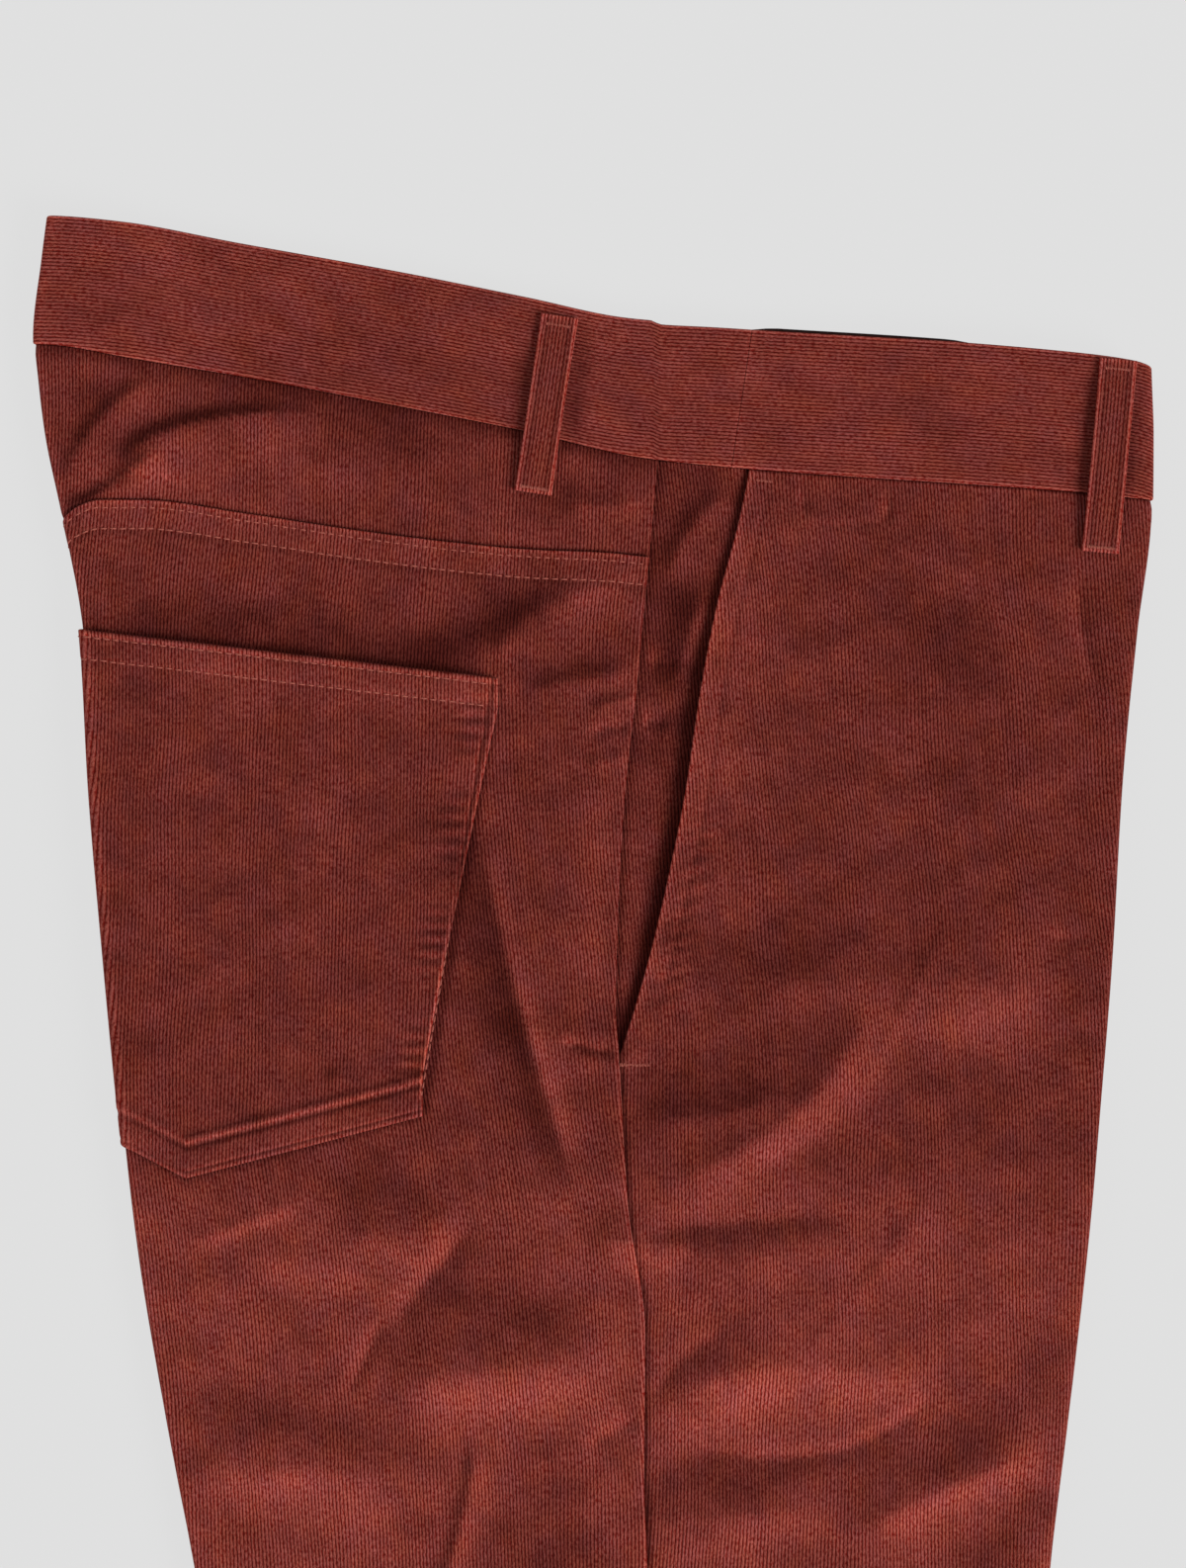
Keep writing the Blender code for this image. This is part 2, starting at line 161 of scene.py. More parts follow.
# The waistband's edges and the yoke seam, across the garment in q
BAND_EDGES = table(
    "q top bottom",
    (-220, -33.5, 5.5), (-185, -33.0, 6.6), (-162, -31.0, 10.4), (-125, -24.4, 16.4),
    (-77, -15.8, 25.5), (-40, -8.4, 32.8), (-4, -1.0, 41.0), (28, 1.6, 44.4), (80, 4.8, 48.2),
    (130, 9.0, 51.8), (147, 11.4, 53.6), (160, 15.6, 54.8), (215, 19.0, 57.6),
)
YOKE_SEAM = table(
    "q v",
    (-220, 60.0), (-188, 61.5), (-183, 61.0), (-177, 56.8), (-170, 54.6), (-157, 54.6),
    (-125, 58.6), (-93, 63.4), (-61, 67.4), (-36, 69.6), (-16, 70.4), (0, 72.0),
)
BAND_SEAM_Q = 27.0
YOKE_LAP = 0.35      # how far the back panel laps over the yoke

POCKET_TOP = ((-198.0, 91.2), (-48.0, 108.6))
POCKET_BOTTOM = ((-213.0, 226.0), (-143.6, 262.0), (-71.0, 243.0))

FACING_CLOTH = 0.7 * CLOTH
FACING_DEPTH = CLOTH + 0.5
FACING_UNDER_SEAM = 4.0
FACING_UNDER_FRONT = 14.0
FACING_TOP = 43.0
FACING_END = 234.0

LOOPS = table(
    "name top_q top_v bottom_q bottom_v",
    ("side_back_belt_loop", -29.0, -2.4, -37.2, 52.0),
    ("front_belt_loop", 142.0, 11.2, 136.4, 70.4),
)
LOOP_WIDTH = 11.6
LOOP_BOW = 1.1       # how far a loop stands off in its middle
LOOP_WAIST = 0.04    # how much narrower it is drawn between its tacks

FOLD_Q = {"back": -190.0, "front": 160.0}
BACK_TURN_Q = -189.0    # the middle of the waistband's turn round the back crease

# The creases that the photo shows, given one by one. Each is a curved line with the height of its
# ridge (or trough), and how far it spreads to the right and left hand of someone who walks along
# it, seen from above.
STROKE_COLUMNS = "from_u from_v via_u via_v to_u to_v right_hand left_hand amount"
CREASES = table(
    STROKE_COLUMNS,
    # the yoke, from the back crease
    (-182, 57, -167, 50.5, -148, 36, 8, 2.0, 1.0),
    (-162, 47, -146, 32, -98, 27, 15, 2.4, 1.4),
    (-181, 50, -169, 29, -150, 15, 7, 2.4, 0.75),
    (-179, 57, -169, 50, -156, 47, 2.5, 2, -0.35),
    (-30, 53, -17, 56, -2, 54, 5, 4, 0.6),
    # between the yoke seam and the back pocket
    (-47, 104, -37, 89, -2, 77, 7, 8, 1.0),
    (-42, 113, -22, 109, -3, 107, 4, 4, 0.5),
    # the facing
    (25, 52, 12, 62, 3, 82, 4, 5, 0.7),
    (16, 78, 11, 96, 5, 112, 4, 3, 0.45),
    (-2, 104, 3, 104, 9, 107, 2.5, 2.5, -0.5),
    (-3, 122, 0, 122, 5, 124, 2.5, 2.5, -0.5),
    # beside the facing
    (-20, 119, -12, 116, -4, 115, 2.2, 2.2, 0.4),
    (-21, 127, -13, 124, -6, 124, 2, 2, -0.4),
    (-22, 136, -14, 134, -8, 134, 2.4, 2.4, 0.35),
    # from the pocket's side down to the side seam
    (-55, 152, -43.5, 200, -22, 271, 8, 4.5, 0.95),
    (-29, 220, -20, 222.5, -10, 225, 1.4, 2.2, -0.95),
    (-8, 225, 2, 229, 13, 230, 3, 3, -0.4),
    (-9, 243, 18, 243, 46, 234, 7, 9, 1.1),
    (-101, 230, -93, 232, -85, 236, 2, 2, 0.3),
    # the back of the thigh
    (-146, 283, -125, 276, -102, 267, 2.5, 4, 0.3),
    (-135, 286, -110, 287, -86, 292, 8, 6, 0.35),
    (-100, 274, -79, 283, -60, 288, 5, 9, 0.8),
    (-53, 273, -68, 292, -82, 309, 6, 4.5, -0.75),
    (-86, 323, -52, 321, -8, 313, 12, 11, 1.35),
    (-83, 305, -88, 316, -95, 331, 2.5, 2.5, -0.4),
    (-150, 350, -112, 351, -64, 356, 9, 14, 0.9),
    (-56, 342, -58, 364, -72, 410, 2.2, 5, 0.6),
    (-62, 392, -30, 394, 2, 387, 10, 16, 1.3),
    # the front of the hip
    (45, 46, 46, 53, 46.5, 62, 1.5, 1.5, -0.25),
    (46, 61, 58, 62, 72, 61, 1.5, 1.5, -0.2),
    (72, 47, 72, 54, 71.5, 63, 1.5, 1.5, -0.3),
    (131, 72, 132, 98, 141, 116, 3, 3, -0.4),
    (64, 74, 94, 94, 122, 122, 9, 6, 0.6),
    (118, 188, 130, 189, 141, 188, 3, 3, -0.35),
    (92, 178, 76, 212, 50, 256, 2, 3, 0.12),
    (14, 203, 66, 202, 140, 204, 14, 13, 0.8),
    # the front of the thigh
    (68, 204, 43, 242, -6, 268, 9, 7, 0.9),
    (-6, 281, 26, 276, 78, 274, 6, 8, -0.95),
    (-22, 283, -5, 282, 12, 286, 6, 5, 0.7),
    (92, 256, 64, 296, 40, 322, 2.5, 7, 0.25),
    (-2, 338, 36, 320, 92, 331, 12, 10, 1.25),
    (-6, 346, 40, 347, 84, 345, 6, 8, -0.7),
    (2, 341, 54, 347, 95, 319, 3.5, 2.6, -0.4),
    (-2, 334, 8, 319, 28, 306, 3, 3, -0.3),
    (122, 345, 92, 356, 56, 374, 11, 8, 1.25),
    (124, 374, 108, 392, 90, 412, 10, 8, 1.1),
    (-6, 364, 20, 366, 56, 361, 8, 8, 0.9),
    (-22, 345, -12, 340, -3, 334, 4, 4, -0.5),
    # below the photo's edge, in the same manner
    (-120, 418, -84, 436, -38, 428, 12, 10, 1.2),
    (98, 430, 60, 446, 14, 436, 10, 13, 1.3),
    (-108, 505, -70, 520, -30, 545, 9, 12, 0.9),
    (98, 520, 62, 548, 24, 556, 12, 9, 0.8),
    (-98, 585, -60, 600, -14, 596, 12, 14, 1.5),
    (96, 610, 52, 622, 6, 606, 13, 10, 1.2),
    (-94, 650, -56, 640, -10, 655, 11, 9, 0.9),
    (92, 668, 60, 660, 20, 676, 9, 12, -0.7),
    (-88, 760, -50, 790, -16, 840, 12, 10, 0.8),
    (88, 850, 54, 880, 22, 930, 10, 12, 0.8),
    (-80, 960, -44, 968, -8, 955, 10, 10, -0.6),
)

# Strokes of the pile's tone, laid out in the same way: partly its lie, and partly painted light and
# shade, such as the shadows beside the belt loops and under the waistband
NAP_AND_SHADE = table(
    STROKE_COLUMNS,
    (-168, 53, -134, 44, -60, 48, 9, 8, 0.22),
    (-150, 20, -100, 27, -50, 39, 8, 5, -0.5),
    (-182, 18, -172, 30, -165, 46, 6, 6, -0.25),
    (-88, 103, -52, 93, -22, 81, 7, 5, -0.9),
    (-40, 111, -24, 107, -5, 103, 4, 4, -0.4),
    (-176, 84, -125, 92, -54, 101, 5, 8, -0.5),
    (-60, 132, -52, 190, -36, 240, 9, 9, -0.35),
    (-16, 120, -18, 170, -20, 215, 6, 5, 0.3),
    (-50, 186, -37, 231, -24, 271, 5.5, 1.2, -0.5),
    (-46.5, 186, -33.5, 231, -21.5, 271, 1.2, 4, 0.35),
    (60, 78, 90, 98, 118, 126, 9, 9, -0.35),
    (4, 190, 34, 194, 70, 192, 9, 9, -0.15),
    (-4, 240, 18, 240, 42, 237, 6, 6, -0.4),
    (60, 222, 90, 212, 136, 214, 12, 12, 0.55),
    (72, 212, 49, 246, 0, 274, 6, 6, 0.6),
    (-8, 282, 22, 279, 62, 276, 6, 4, -0.5),
    (-88, 324, -50, 330, 2, 318, 8, 8, 0.5),
    (-75, 297, -48, 301, -14, 316, 7, 9, -0.6),
    (-100, 257, -82, 268, -54, 281, 8, 9, -0.35),
    (-125, 290, -105, 292, -85, 293, 6, 7, 0.3),
    (-146, 283, -125, 277, -102, 267, 3, 2, 0.45),
    (-146, 333, -110, 337, -62, 347, 9, 9, -0.35),
    (-146, 356, -125, 357, -98, 352, 6, 5, 0.4),
    (-52, 352, -31, 368, -8, 392, 13, 13, -0.35),
    (0, 342, 36, 327, 96, 336, 7, 10, 0.5),
    (126, 300, 105, 340, 60, 354, 9, 9, -0.3),
    (120, 350, 90, 361, 58, 380, 6, 7, 0.5),
    (123, 357, 108, 371, 96, 392, 7, 7, -0.35),
    (-6, 353, 20, 356, 48, 354, 6, 6, -0.35),
    (-18, 288, 0, 286, 14, 290, 7, 6, 0.4),
    (70, 288, 45, 314, 14, 335, 5, 5, 0.35),
    (-40, 0, -42, 20, -45, 38, 3, 3, -0.35),
    (-21, -4, -23, 20, -27, 42, 2.5, 2.5, -0.6),
    (134.5, 12, 132, 36, 129, 66, 2, 2, -0.6),
    (149, 14, 146.5, 38, 143.5, 66, 2, 2, -0.5),
    (-110, -8, -80, 8, -50, 18, 14, 14, -0.2),
    (12, 78, 5, 96, 2, 118, 4, 5, -0.4),
    (36, 60, 26, 110, 10, 170, 9, 8, 0.3),
    (-130, 358, -100, 364, -74, 384, 11, 9, 0.35),
    (24, 296, 50, 282, 96, 262, 9, 8, 0.3),
    (-110, 430, -70, 450, -20, 440, 14, 16, 0.4),
    (90, 450, 50, 470, 10, 462, 15, 14, -0.4),
    (-90, 610, -40, 590, 20, 600, 16, 20, 0.4),
    (80, 640, 40, 650, -10, 640, 14, 14, -0.35),
    (-70, 820, -30, 860, 10, 900, 18, 16, 0.35),
    (70, 930, 40, 960, 0, 970, 16, 14, -0.3),
)
CREASE_GAIN = 2.0
CREASE_POINT = 1.5       # creases are a little pointed, where the painted strokes of tone and shade are round
SLOPE_SHADE_GAIN = 2.2          # painted shade: a slope that faces the main light is painted lighter, one turned from it darker
POCKET_SLOPE_SHADE_GAIN = 3.0
TO_LIGHT = (0.82, 0.57)    # the way to the main light, in u and v
LOWER_LIGHTER = 0.45    # the thighs are drawn lighter than the hips
LOWER_LIGHTER_FROM = (250.0, 285.0)

# The slight waves of pressed cloth: wavelength and height in mm
WAVES = ((34.0, 0.14), (19.0, 0.09), (10.0, 0.045))
WAVES_OF_EACH_LENGTH = 4
WAVE_SEED = 11

# The pile's cloudy unevenness: wavelength in mm and strength, and the wales' slight waver
MOTTLES = ((46.0, 0.05), (27.0, 0.05), (15.0, 0.05), (8.0, 0.05))
MOTTLES_OF_EACH_LENGTH = 9
MOTTLE_SEED = 5
WAVERS = ((70.0, 0.5), (31.0, 0.22))
WAVERS_OF_EACH_LENGTH = 3
WAVER_SEED = 8

# Where the wales run: how far each piece's have moved forward, down the garment
GRAIN = {
    "front_panel": ((36, 0.0), (140, 9.0), (240, 17.0), (320, 17.5), (381, 15.5), (1050, 6.0)),
    "back_panel": ((50, 4.0), (110, 0.0), (200, 7.0), (300, 20.0), (381, 26.0), (1050, 40.0)),
    "back_yoke": ((0, 3.0), (73, 0.0)),
    "pocket_facing": ((36, 0.0), (234, 17.0)),
    "back_pocket": ((90, 0.0), (262, -3.5)),
}

# Soft ridges (or grooves) along an edge or a seam, and the painted light and shade along them:
# highlights on folded edges and hems, shade in grooves and under edges. Each is its distance
# from the edge and its half width in mm, and its height in mm or its strength.
SEAM_GROOVE = ((3.2, 2.0, 0.12), (0, 1.3, -0.3))
EDGE_LIGHT = ((0.3, 0.6, 0.7),)    # a painted highlight along a folded edge, where the pile stands out
UNDER_BAND_DIP = ((0, 1.6, -0.35), (4, 2.4, 0.2))
UNDER_BAND_LIGHT = ((1.3, 0.9, 0.35), (0.2, 0.7, -0.6))
MOUTH_LIGHT = (*EDGE_LIGHT, (1.2, 1.3, 0.35))
LAP_ROLL = ((0.7, 1.1, 0.6), (2.4, 0.6, -0.18), (8.3, 0.7, -0.14))
POCKET_TOP_HEM = ((0.9, 1.0, 0.35), (2.2, 0.5, -0.16), (9.0, 0.7, -0.14))
POCKET_TOP_LIGHT = ((0.8, 1.0, 0.3), (5, 4, 0.12))
POCKET_FOOT_GROOVES = ((9.3, 0.9, -0.25), (1.9, 0.5, -0.2))
POCKET_FOOT_LIGHT = ((0.5, 0.7, 0.6), (11.4, 1.1, 0.55), (9.5, 0.7, -0.6))
POCKET_SIDE_LIGHT = ((0.3, 0.6, 0.8), (1.6, 0.6, -0.25))
LOOP_SIDE = ((1.0, 0.8, 0.3), (2.4, 0.5, -0.18))
LOOP_SIDE_LIGHT = ((0.8, 0.8, 0.5), (2.4, 0.6, -0.45))

# Each piece's edges are rounded over this run, drawn with these rows of points
EDGE_ROWS = (0.0, 0.03, 0.11, 0.24, 0.42, 0.7, 1.2)
SEAM_ROWS = EDGE_ROWS + (1.8, 2.4, 3.1, 3.9, 4.8, 5.8, 6.8, 7.6, 8.3, 9.0, 9.8)
FOLD_STEPS = 8
SHOWN_END = 392.0    # the photo's lower edge is just above this

SEAM_STITCH = (2.3, 0.5, 0.45)    # a stitch's length, width and height
TACK_STITCH = (1.2, 0.34, 0.36)
THREAD_PITCH = 2.9
TACK_PITCH = 0.42
THREAD_PROUD = 0.12
THREAD_SUNK = -0.2    # the pile closes over the stitches of the pocket's sides and foot


def curve(given, column):
    """A smooth line through a column of a table, read along its first column."""
    at = given["columns"].index(column)
    xs = np.array([row[0] for row in given["rows"]], float)
    ys = np.array([row[at] for row in given["rows"]], float)
    slopes = np.diff(ys) / np.diff(xs)
    before = np.append(slopes[:1], slopes)
    after = np.append(slopes, slopes[-1:])
    turns = before * after <= 0
    tangents = np.where(turns, 0, 2 * before * after / np.where(turns, 1, before + after))

    def read(place):
        place = np.asarray(place, float)
        i = np.clip(np.searchsorted(xs, place, side="right") - 1, 0, len(xs) - 2)
        width = xs[i + 1] - xs[i]
        t = (place - xs[i]) / width
        between = (
            ys[i] * (1 + 2 * t) * (1 - t) ** 2
            + ys[i + 1] * t * t * (3 - 2 * t)
            + tangents[i] * width * t * (1 - t) ** 2
            - tangents[i + 1] * width * t * t * (1 - t)
        )
        low = ys[0] + slopes[0] * (place - xs[0])
        high = ys[-1] + slopes[-1] * (place - xs[-1])
        return np.where(place <= xs[0], low, np.where(place >= xs[-1], high, between))

    return read


def ease(t):
    """0 below 0, 1 above 1, and a soft step between."""
    t = np.clip(t, 0.0, 1.0)
    return t * t * (3 - 2 * t)


def rise(x, start, run):
    """A soft step up from a start, over a run that may go backwards."""
    return ease((x - start) / run)


def mix(a, b, t):
    return a + (b - a) * t


def hump(distance, width):
    """1 at a line, and falling away on both sides of it."""
    return np.exp(-((distance / width) ** 2))


def humps(distance, *rows):
    """The sum of the soft ridges and grooves that these rows give along a line."""
    return sum(height * hump(distance - at, width) for at, width, height in rows)


def chain(points):
    """A chain of straight lines, its ends carried on, as a function of q."""

    def read(q):
        v = np.zeros(np.shape(q))
        for i, ((q0, v0), (q1, v1)) in enumerate(zip(points, points[1:])):
            on = v0 + (v1 - v0) * (q - q0) / (q1 - q0)
            v = on if i == 0 else np.where(q > q0, on, v)
        return v

    return read


fold_u = {end: curve(FOLDS, end) for end in OUT}
rise_u = {end: curve(RISE_EDGES, end) for end in OUT}
inseam_u = curve(INSEAM, "u")
side_seam = curve(SIDE_SEAM, "u")
mouth_u = curve(POCKET_MOUTH, "u")
stack = {name: curve(STACK, name) for name in STACK["columns"][1:]}
band_top = curve(BAND_EDGES, "top")
band_bottom = curve(BAND_EDGES, "bottom")
yoke_seam = curve(YOKE_SEAM, "v")
pocket_top = chain(POCKET_TOP)
pocket_bottom = chain(POCKET_BOTTOM)
grain = {piece: curve(table("v forward", *rows), "forward") for piece, rows in GRAIN.items()}


def front_edge(v):
    return np.where(v < MOUTH_END, mouth_u(v), side_seam(v))


def inner_edge(end, v):
    return np.where(v < CROTCH, rise_u[end](v), inseam_u(v))


def large_folds(u, v):
    """The solids' largest folds' height over the smooth upper side."""
    total = 0.0
    for from_u, from_v, to_u, to_v, half_width, height in LARGE_FOLDS["rows"]:
        along = (to_u - from_u, to_v - from_v)
        length = math.hypot(*along)
        t = ((u - from_u) * along[0] + (v - from_v) * along[1]) / length ** 2
        off = ((u - from_u) * along[1] - (v - from_v) * along[0]) / length
        ends = ease(t / FOLD_RUN_OUT + 0.5) * ease((1 - t) / FOLD_RUN_OUT + 0.5)
        total = total + height * ends * hump(off, half_width)
    return total


def bend(row, steps):
    """Points along a stroke's curved line."""
    t = np.linspace(0, 1, steps + 1)[:, None]
    start, via, stop = (np.array(row[i:i + 2], float) for i in (0, 2, 4))
    middle = 2 * via - (start + stop) / 2    # so that the curve runs through via
    return start * (1 - t) ** 2 + middle * 2 * t * (1 - t) + stop * t * t


def strokes(given, u, v, power=2.0):
    """The sum of a table's soft strokes at each place. A lower power makes them pointed."""
    steps = 12
    reach = 2.8
    run_out = 0.3
    u, v = (np.array(a, float) for a in np.broadcast_arrays(u, v))
    total = np.zeros(u.shape)
    for row in given["rows"]:
        right_hand, left_hand, amount = row[6:]
        path = bend(row, steps)
        far = reach * max(right_hand, left_hand)
        low = path.min(axis=0) - far
        high = path.max(axis=0) + far
        near = (u > low[0]) & (u < high[0]) & (v > low[1]) & (v < high[1])
        if not near.any():
            continue
        pu, pv = u[near], v[near]
        best = np.full(pu.shape, np.inf)
        share, hand = np.zeros((2, *pu.shape))
        for k in range(steps):
            step = path[k + 1] - path[k]
            t = ((pu - path[k][0]) * step[0] + (pv - path[k][1]) * step[1]) / (step @ step)
            t = np.clip(t, 0, 1)
            du = pu - path[k][0] - t * step[0]
            dv = pv - path[k][1] - t * step[1]
            distance = np.hypot(du, dv)
            closer = distance < best
            best = np.where(closer, distance, best)
            share = np.where(closer, (k + t) / steps, share)
            hand = np.where(closer, step[0] * dv - step[1] * du, hand)
        width = np.where(hand > 0, right_hand, left_hand)
        ends = rise(share, 0, run_out) * rise(share, 1, -run_out)
        total[near] += amount * ends * np.exp(-((best / width) ** power))
    return total


def ripples(given, of_each_length, seed, u, v):
    """Many faint waves in all directions, laid over one another."""
    random = np.random.default_rng(seed)
    total = 0.0
    for wavelength, height in given:
        for _ in range(of_each_length):
            angle, phase = random.uniform(0, 2 * math.pi, 2)
            length = wavelength * random.uniform(0.8, 1.25)
            along = u * math.cos(angle) + v * math.sin(angle)
            total = total + height / 2 * np.sin(2 * math.pi * along / length + phase)
    return total


def creases(leg, given, u, v, power=2.0):
    """A table's strokes on this leg. The left one has them in slightly other places."""
    if leg == "left":
        u, v = u * 0.97 + 5, v - 13
    return strokes(given, u, v, power)


def margin(u, v):
    """The distance from the nearer crease fold."""
    return np.minimum(u - fold_u["back"](v), fold_u["front"](v) - u)


def relief(leg, u, v):
    """How far the creases and waves lift the outer face."""
    give = 0.12 + 0.88 * ease((v - band_bottom(u) - 1) / 9)    # the waistband is stiff
    lift = creases(leg, CREASES, u, v, CREASE_POINT)
    if leg == "left":
        # The underside stays flat where it rests, so its creases only go in
        room = mix(0.3, 1.0, rise(v, 275, 40)) * rise(margin(u, v), 0, 12)
        return give * room * (1 - np.exp(-np.abs(lift)))
    lift = CREASE_GAIN * lift + ripples(WAVES, WAVES_OF_EACH_LENGTH, WAVE_SEED, u, v)
    deep = mix(0.35, 1.0, rise(margin(u, v), 0, 14))
    return give * np.where(lift < 0, lift * deep, lift)


def outer_height(leg, u, v):
    """The height of a leg's outer face, which for the left leg is its underside."""
    if leg == "left":
        return stack["left_outer"](v) + relief(leg, u, v)
    level_share = stack["level"](v)
    inward = 1.0
    for end in OUT:
        fold = fold_u[end](v)
        depth = np.abs(inner_edge(end, v) - fold)
        past = np.abs(u - fold) - level_share * depth
        run = (1 - level_share) * depth + FALL_RUN + FALL_RUN_LEVEL * level_share
        inward = inward * ease(past / run)
    smooth = mix(stack["right_outer"](v), stack["right_middle"](v), inward)
    folds = rise(margin(u, v), 0, FOLD_MARGIN) * large_folds(u, v)
    return smooth + folds + relief(leg, u, v)


def inner_height(leg, u, v, end):
    """The height of the face that a leg turns to the other leg."""
    if leg == "left":
        return stack["left_inner"](v)
    fold = fold_u[end](v)
    share = (u - fold) / (inner_edge(end, v) - fold)
    near_band = ease((BAND_ZONE[1] - v) / (BAND_ZONE[1] - BAND_ZONE[0]))
    at_seam = stack["left_inner"](v) + GAP + 2 * BAND_PROUD * near_band
    return mix(stack["right_inner"](v), at_seam, ease((share - FLAP_SHARE) / (1 - FLAP_SHARE)))


def turn(leg, v, end):
    """Where the turn round a crease fold starts, its radius and the height of its middle."""
    fold = fold_u[end](v)
    outer = outer_height(leg, fold, v)
    inner = inner_height(leg, fold, v, end)
    radius = np.abs(outer - inner) / 2
    return fold - OUT[end] * radius, radius, (outer + inner) / 2


def skin(leg, q, v, d):
    """The places of points of cloth, in metres."""
    up = 1 if leg == "right" else -1
    q, v, d = np.broadcast_arrays(q, v, d)
    shown = np.clip(q, fold_u["back"](v), fold_u["front"](v))
    u = np.array(q, float)
    z = outer_height(leg, shown, v) + up * d
    for end, out in OUT.items():
        start, radius, middle = turn(leg, v, end)
        past = (q - start) * out
        angle = np.clip(past / radius, 0, math.pi)
        folded = (q * out > 0) & (past > 0)
        hidden = folded & (past >= math.pi * radius)
        back_u = start - out * (past - math.pi * radius)
        round_u = start + out * (radius + d) * np.sin(angle)
        round_z = middle + up * (radius + d) * np.cos(angle)
        u = np.where(hidden, back_u, np.where(folded, round_u, u))
        inner_z = inner_height(leg, back_u, v, end) - up * d
        z = np.where(hidden, inner_z, np.where(folded, round_z, z))
    return np.stack([(u - PLAN_CENTRE_U) * MM, (PLAN_CENTRE_V - v) * MM, z * MM], axis=-1)


def unrolled(leg, u, v, end):
    """The q of a place on the inner layer that lies at u."""
    start, radius, _ = turn(leg, v, end)
    return start + OUT[end] * math.pi * radius + (start - u)


def inner_end(leg, v, end):
    """The q at which the hidden layer ends, just short of the seam there."""
    return unrolled(leg, inner_edge(end, v) + OUT[end] * GAP / 2, v, end)


@dataclass
class Patch:
    """A grid over a patch of a leg's skin, and its points' distances from the patch's edges."""

    leg: str
    q: np.ndarray
    v: np.ndarray
    near: np.ndarray
    far: np.ndarray
    top: np.ndarray
    bottom: np.ndarray

    def edge(self):
        return np.minimum.reduce([self.near, self.far, self.top, self.bottom])

    def u(self):
        """The way across as seen from above, with the hidden layer taken as its fold."""
        return np.clip(self.q, fold_u["back"](self.v), fold_u["front"](self.v))


def marks(length, cell, first=(0.0,), last=(0.0,)):
    """Places along a line, as shares of its middle and offsets in mm. cell is the spacing, or a
    function of the distance that gives it."""
    inner = length - first[-1] - last[-1]
    places = [0.0]
    while places[-1] < inner:
        places.append(places[-1] + (cell(places[-1] + first[-1]) if callable(cell) else cell))
    shares = np.array(places[1:-1]) / places[-1]
    share = np.concatenate([np.zeros(len(first)), shares, np.ones(len(last))])
    end = first[-1] + last[-1]
    offset = np.concatenate([first, np.full(len(shares), first[-1]), end - np.array(last[::-1])])
    return share, offset


def spread(start, stop, marked):
    """The marked places between a start and a stop."""
    share, offset = marked
    sign = np.sign(stop - start)
    return start + sign * (share * (np.abs(stop - start) - offset[-1]) + offset)


def patch(leg, top, bottom, near, far, rows, q_of):
    """A grid between two lines across (v at q), with q worked out from where it starts and
    stops: near and far, which give q at a row's share of the way down."""
    share = rows[0][:, None]
    start, stop = near(share), far(share)
    q = q_of(start, stop)
    v = spread(top(q), bottom(q), (share, rows[1][:, None]))
    return Patch(leg, q, v, np.abs(q - start), np.abs(stop - q), v - top(q), bottom(q) - v)


def round_fold(leg, end, fold_v, outer, inner):
    """How q runs from a start, round a crease fold, to a stop on the hidden layer."""
    turn_start, radius, _ = turn(leg, fold_v, end)
    turn_stop = turn_start + OUT[end] * math.pi * radius
    steps = np.linspace(0, 1, FOLD_STEPS + 1)[None, 1:-1]
    return lambda start, stop: np.concatenate([
        spread(start, turn_start, outer),
        mix(turn_start, turn_stop, steps),
        spread(turn_stop, stop, inner),
    ], axis=1)


def folded_patch(leg, end, top, bottom, near, rows, outer, inner):
    """A grid that goes round a crease fold to the hidden layer's end. near gives q at v."""
    row_marks = (rows[0][:, None], rows[1][:, None])

    def v_at(q):
        return spread(top(q), bottom(q), row_marks)

    start = np.zeros((1, 1))
    for _ in range(4):
        start = near(v_at(start))
    fold_v = v_at(np.array([[FOLD_Q[end]]]))
    return patch(
        leg, top, bottom, lambda share: start, lambda share: inner_end(leg, fold_v, end), rows,
        round_fold(leg, end, fold_v, outer, inner),
    )


def under_band(q):
    """Just below the waistband, v at q."""
    return band_bottom(q) + SEAM_GAP


def level(v):
    """The same v all the way across."""
    return lambda q: np.full(np.shape(q), v)


def shell(name, patched, outside, inside, wales, tone_and_shading, finish, rounding=None):
    """A closed shell of cloth over a patch. outside and inside are its faces' heights, wales the
    places across and along the ribs in mm, and tone_and_shading the pile's tone with its painted
    light and shade."""
    half = (outside - inside) / 2
    middle = (outside + inside) / 2
    rounding = np.mean(half) if rounding is None else rounding
    profile = np.sqrt(1 - (1 - np.clip(patched.edge() / rounding, 0, 1)) ** 2)
    faces_at = [
        skin(patched.leg, patched.q, patched.v, middle + side * half * profile)
        for side in (1, -1)
    ]
    upper = np.arange(patched.q.size).reshape(patched.q.shape)
    lower = upper.copy()
    lower[1:-1, 1:-1] = upper.size + np.arange(upper[1:-1, 1:-1].size).reshape(
        upper[1:-1, 1:-1].shape
    )
    points = np.concatenate([
        faces_at[0].reshape(-1, 3),
        faces_at[1][1:-1, 1:-1].reshape(-1, 3),
    ])
    quads = []
    for grid, order in ((upper, (0, 1, 2, 3)), (lower, (0, 3, 2, 1))):
        corners = (grid[:-1, :-1], grid[1:, :-1], grid[1:, 1:], grid[:-1, 1:])
        quads.append(np.stack([corners[k] for k in order], axis=-1).reshape(-1, 4))
    values = []
    for value in (*wales, tone_and_shading):
        for_points = np.zeros(len(points))
        for grid in (lower, upper):
            for_points[grid.ravel()] = np.asarray(value, float).ravel()
        values.append(for_points)
    thing = mesh_object(name, facing_out(points, np.concatenate(quads)), values, finish)
    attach(thing, BODY)
    return thing


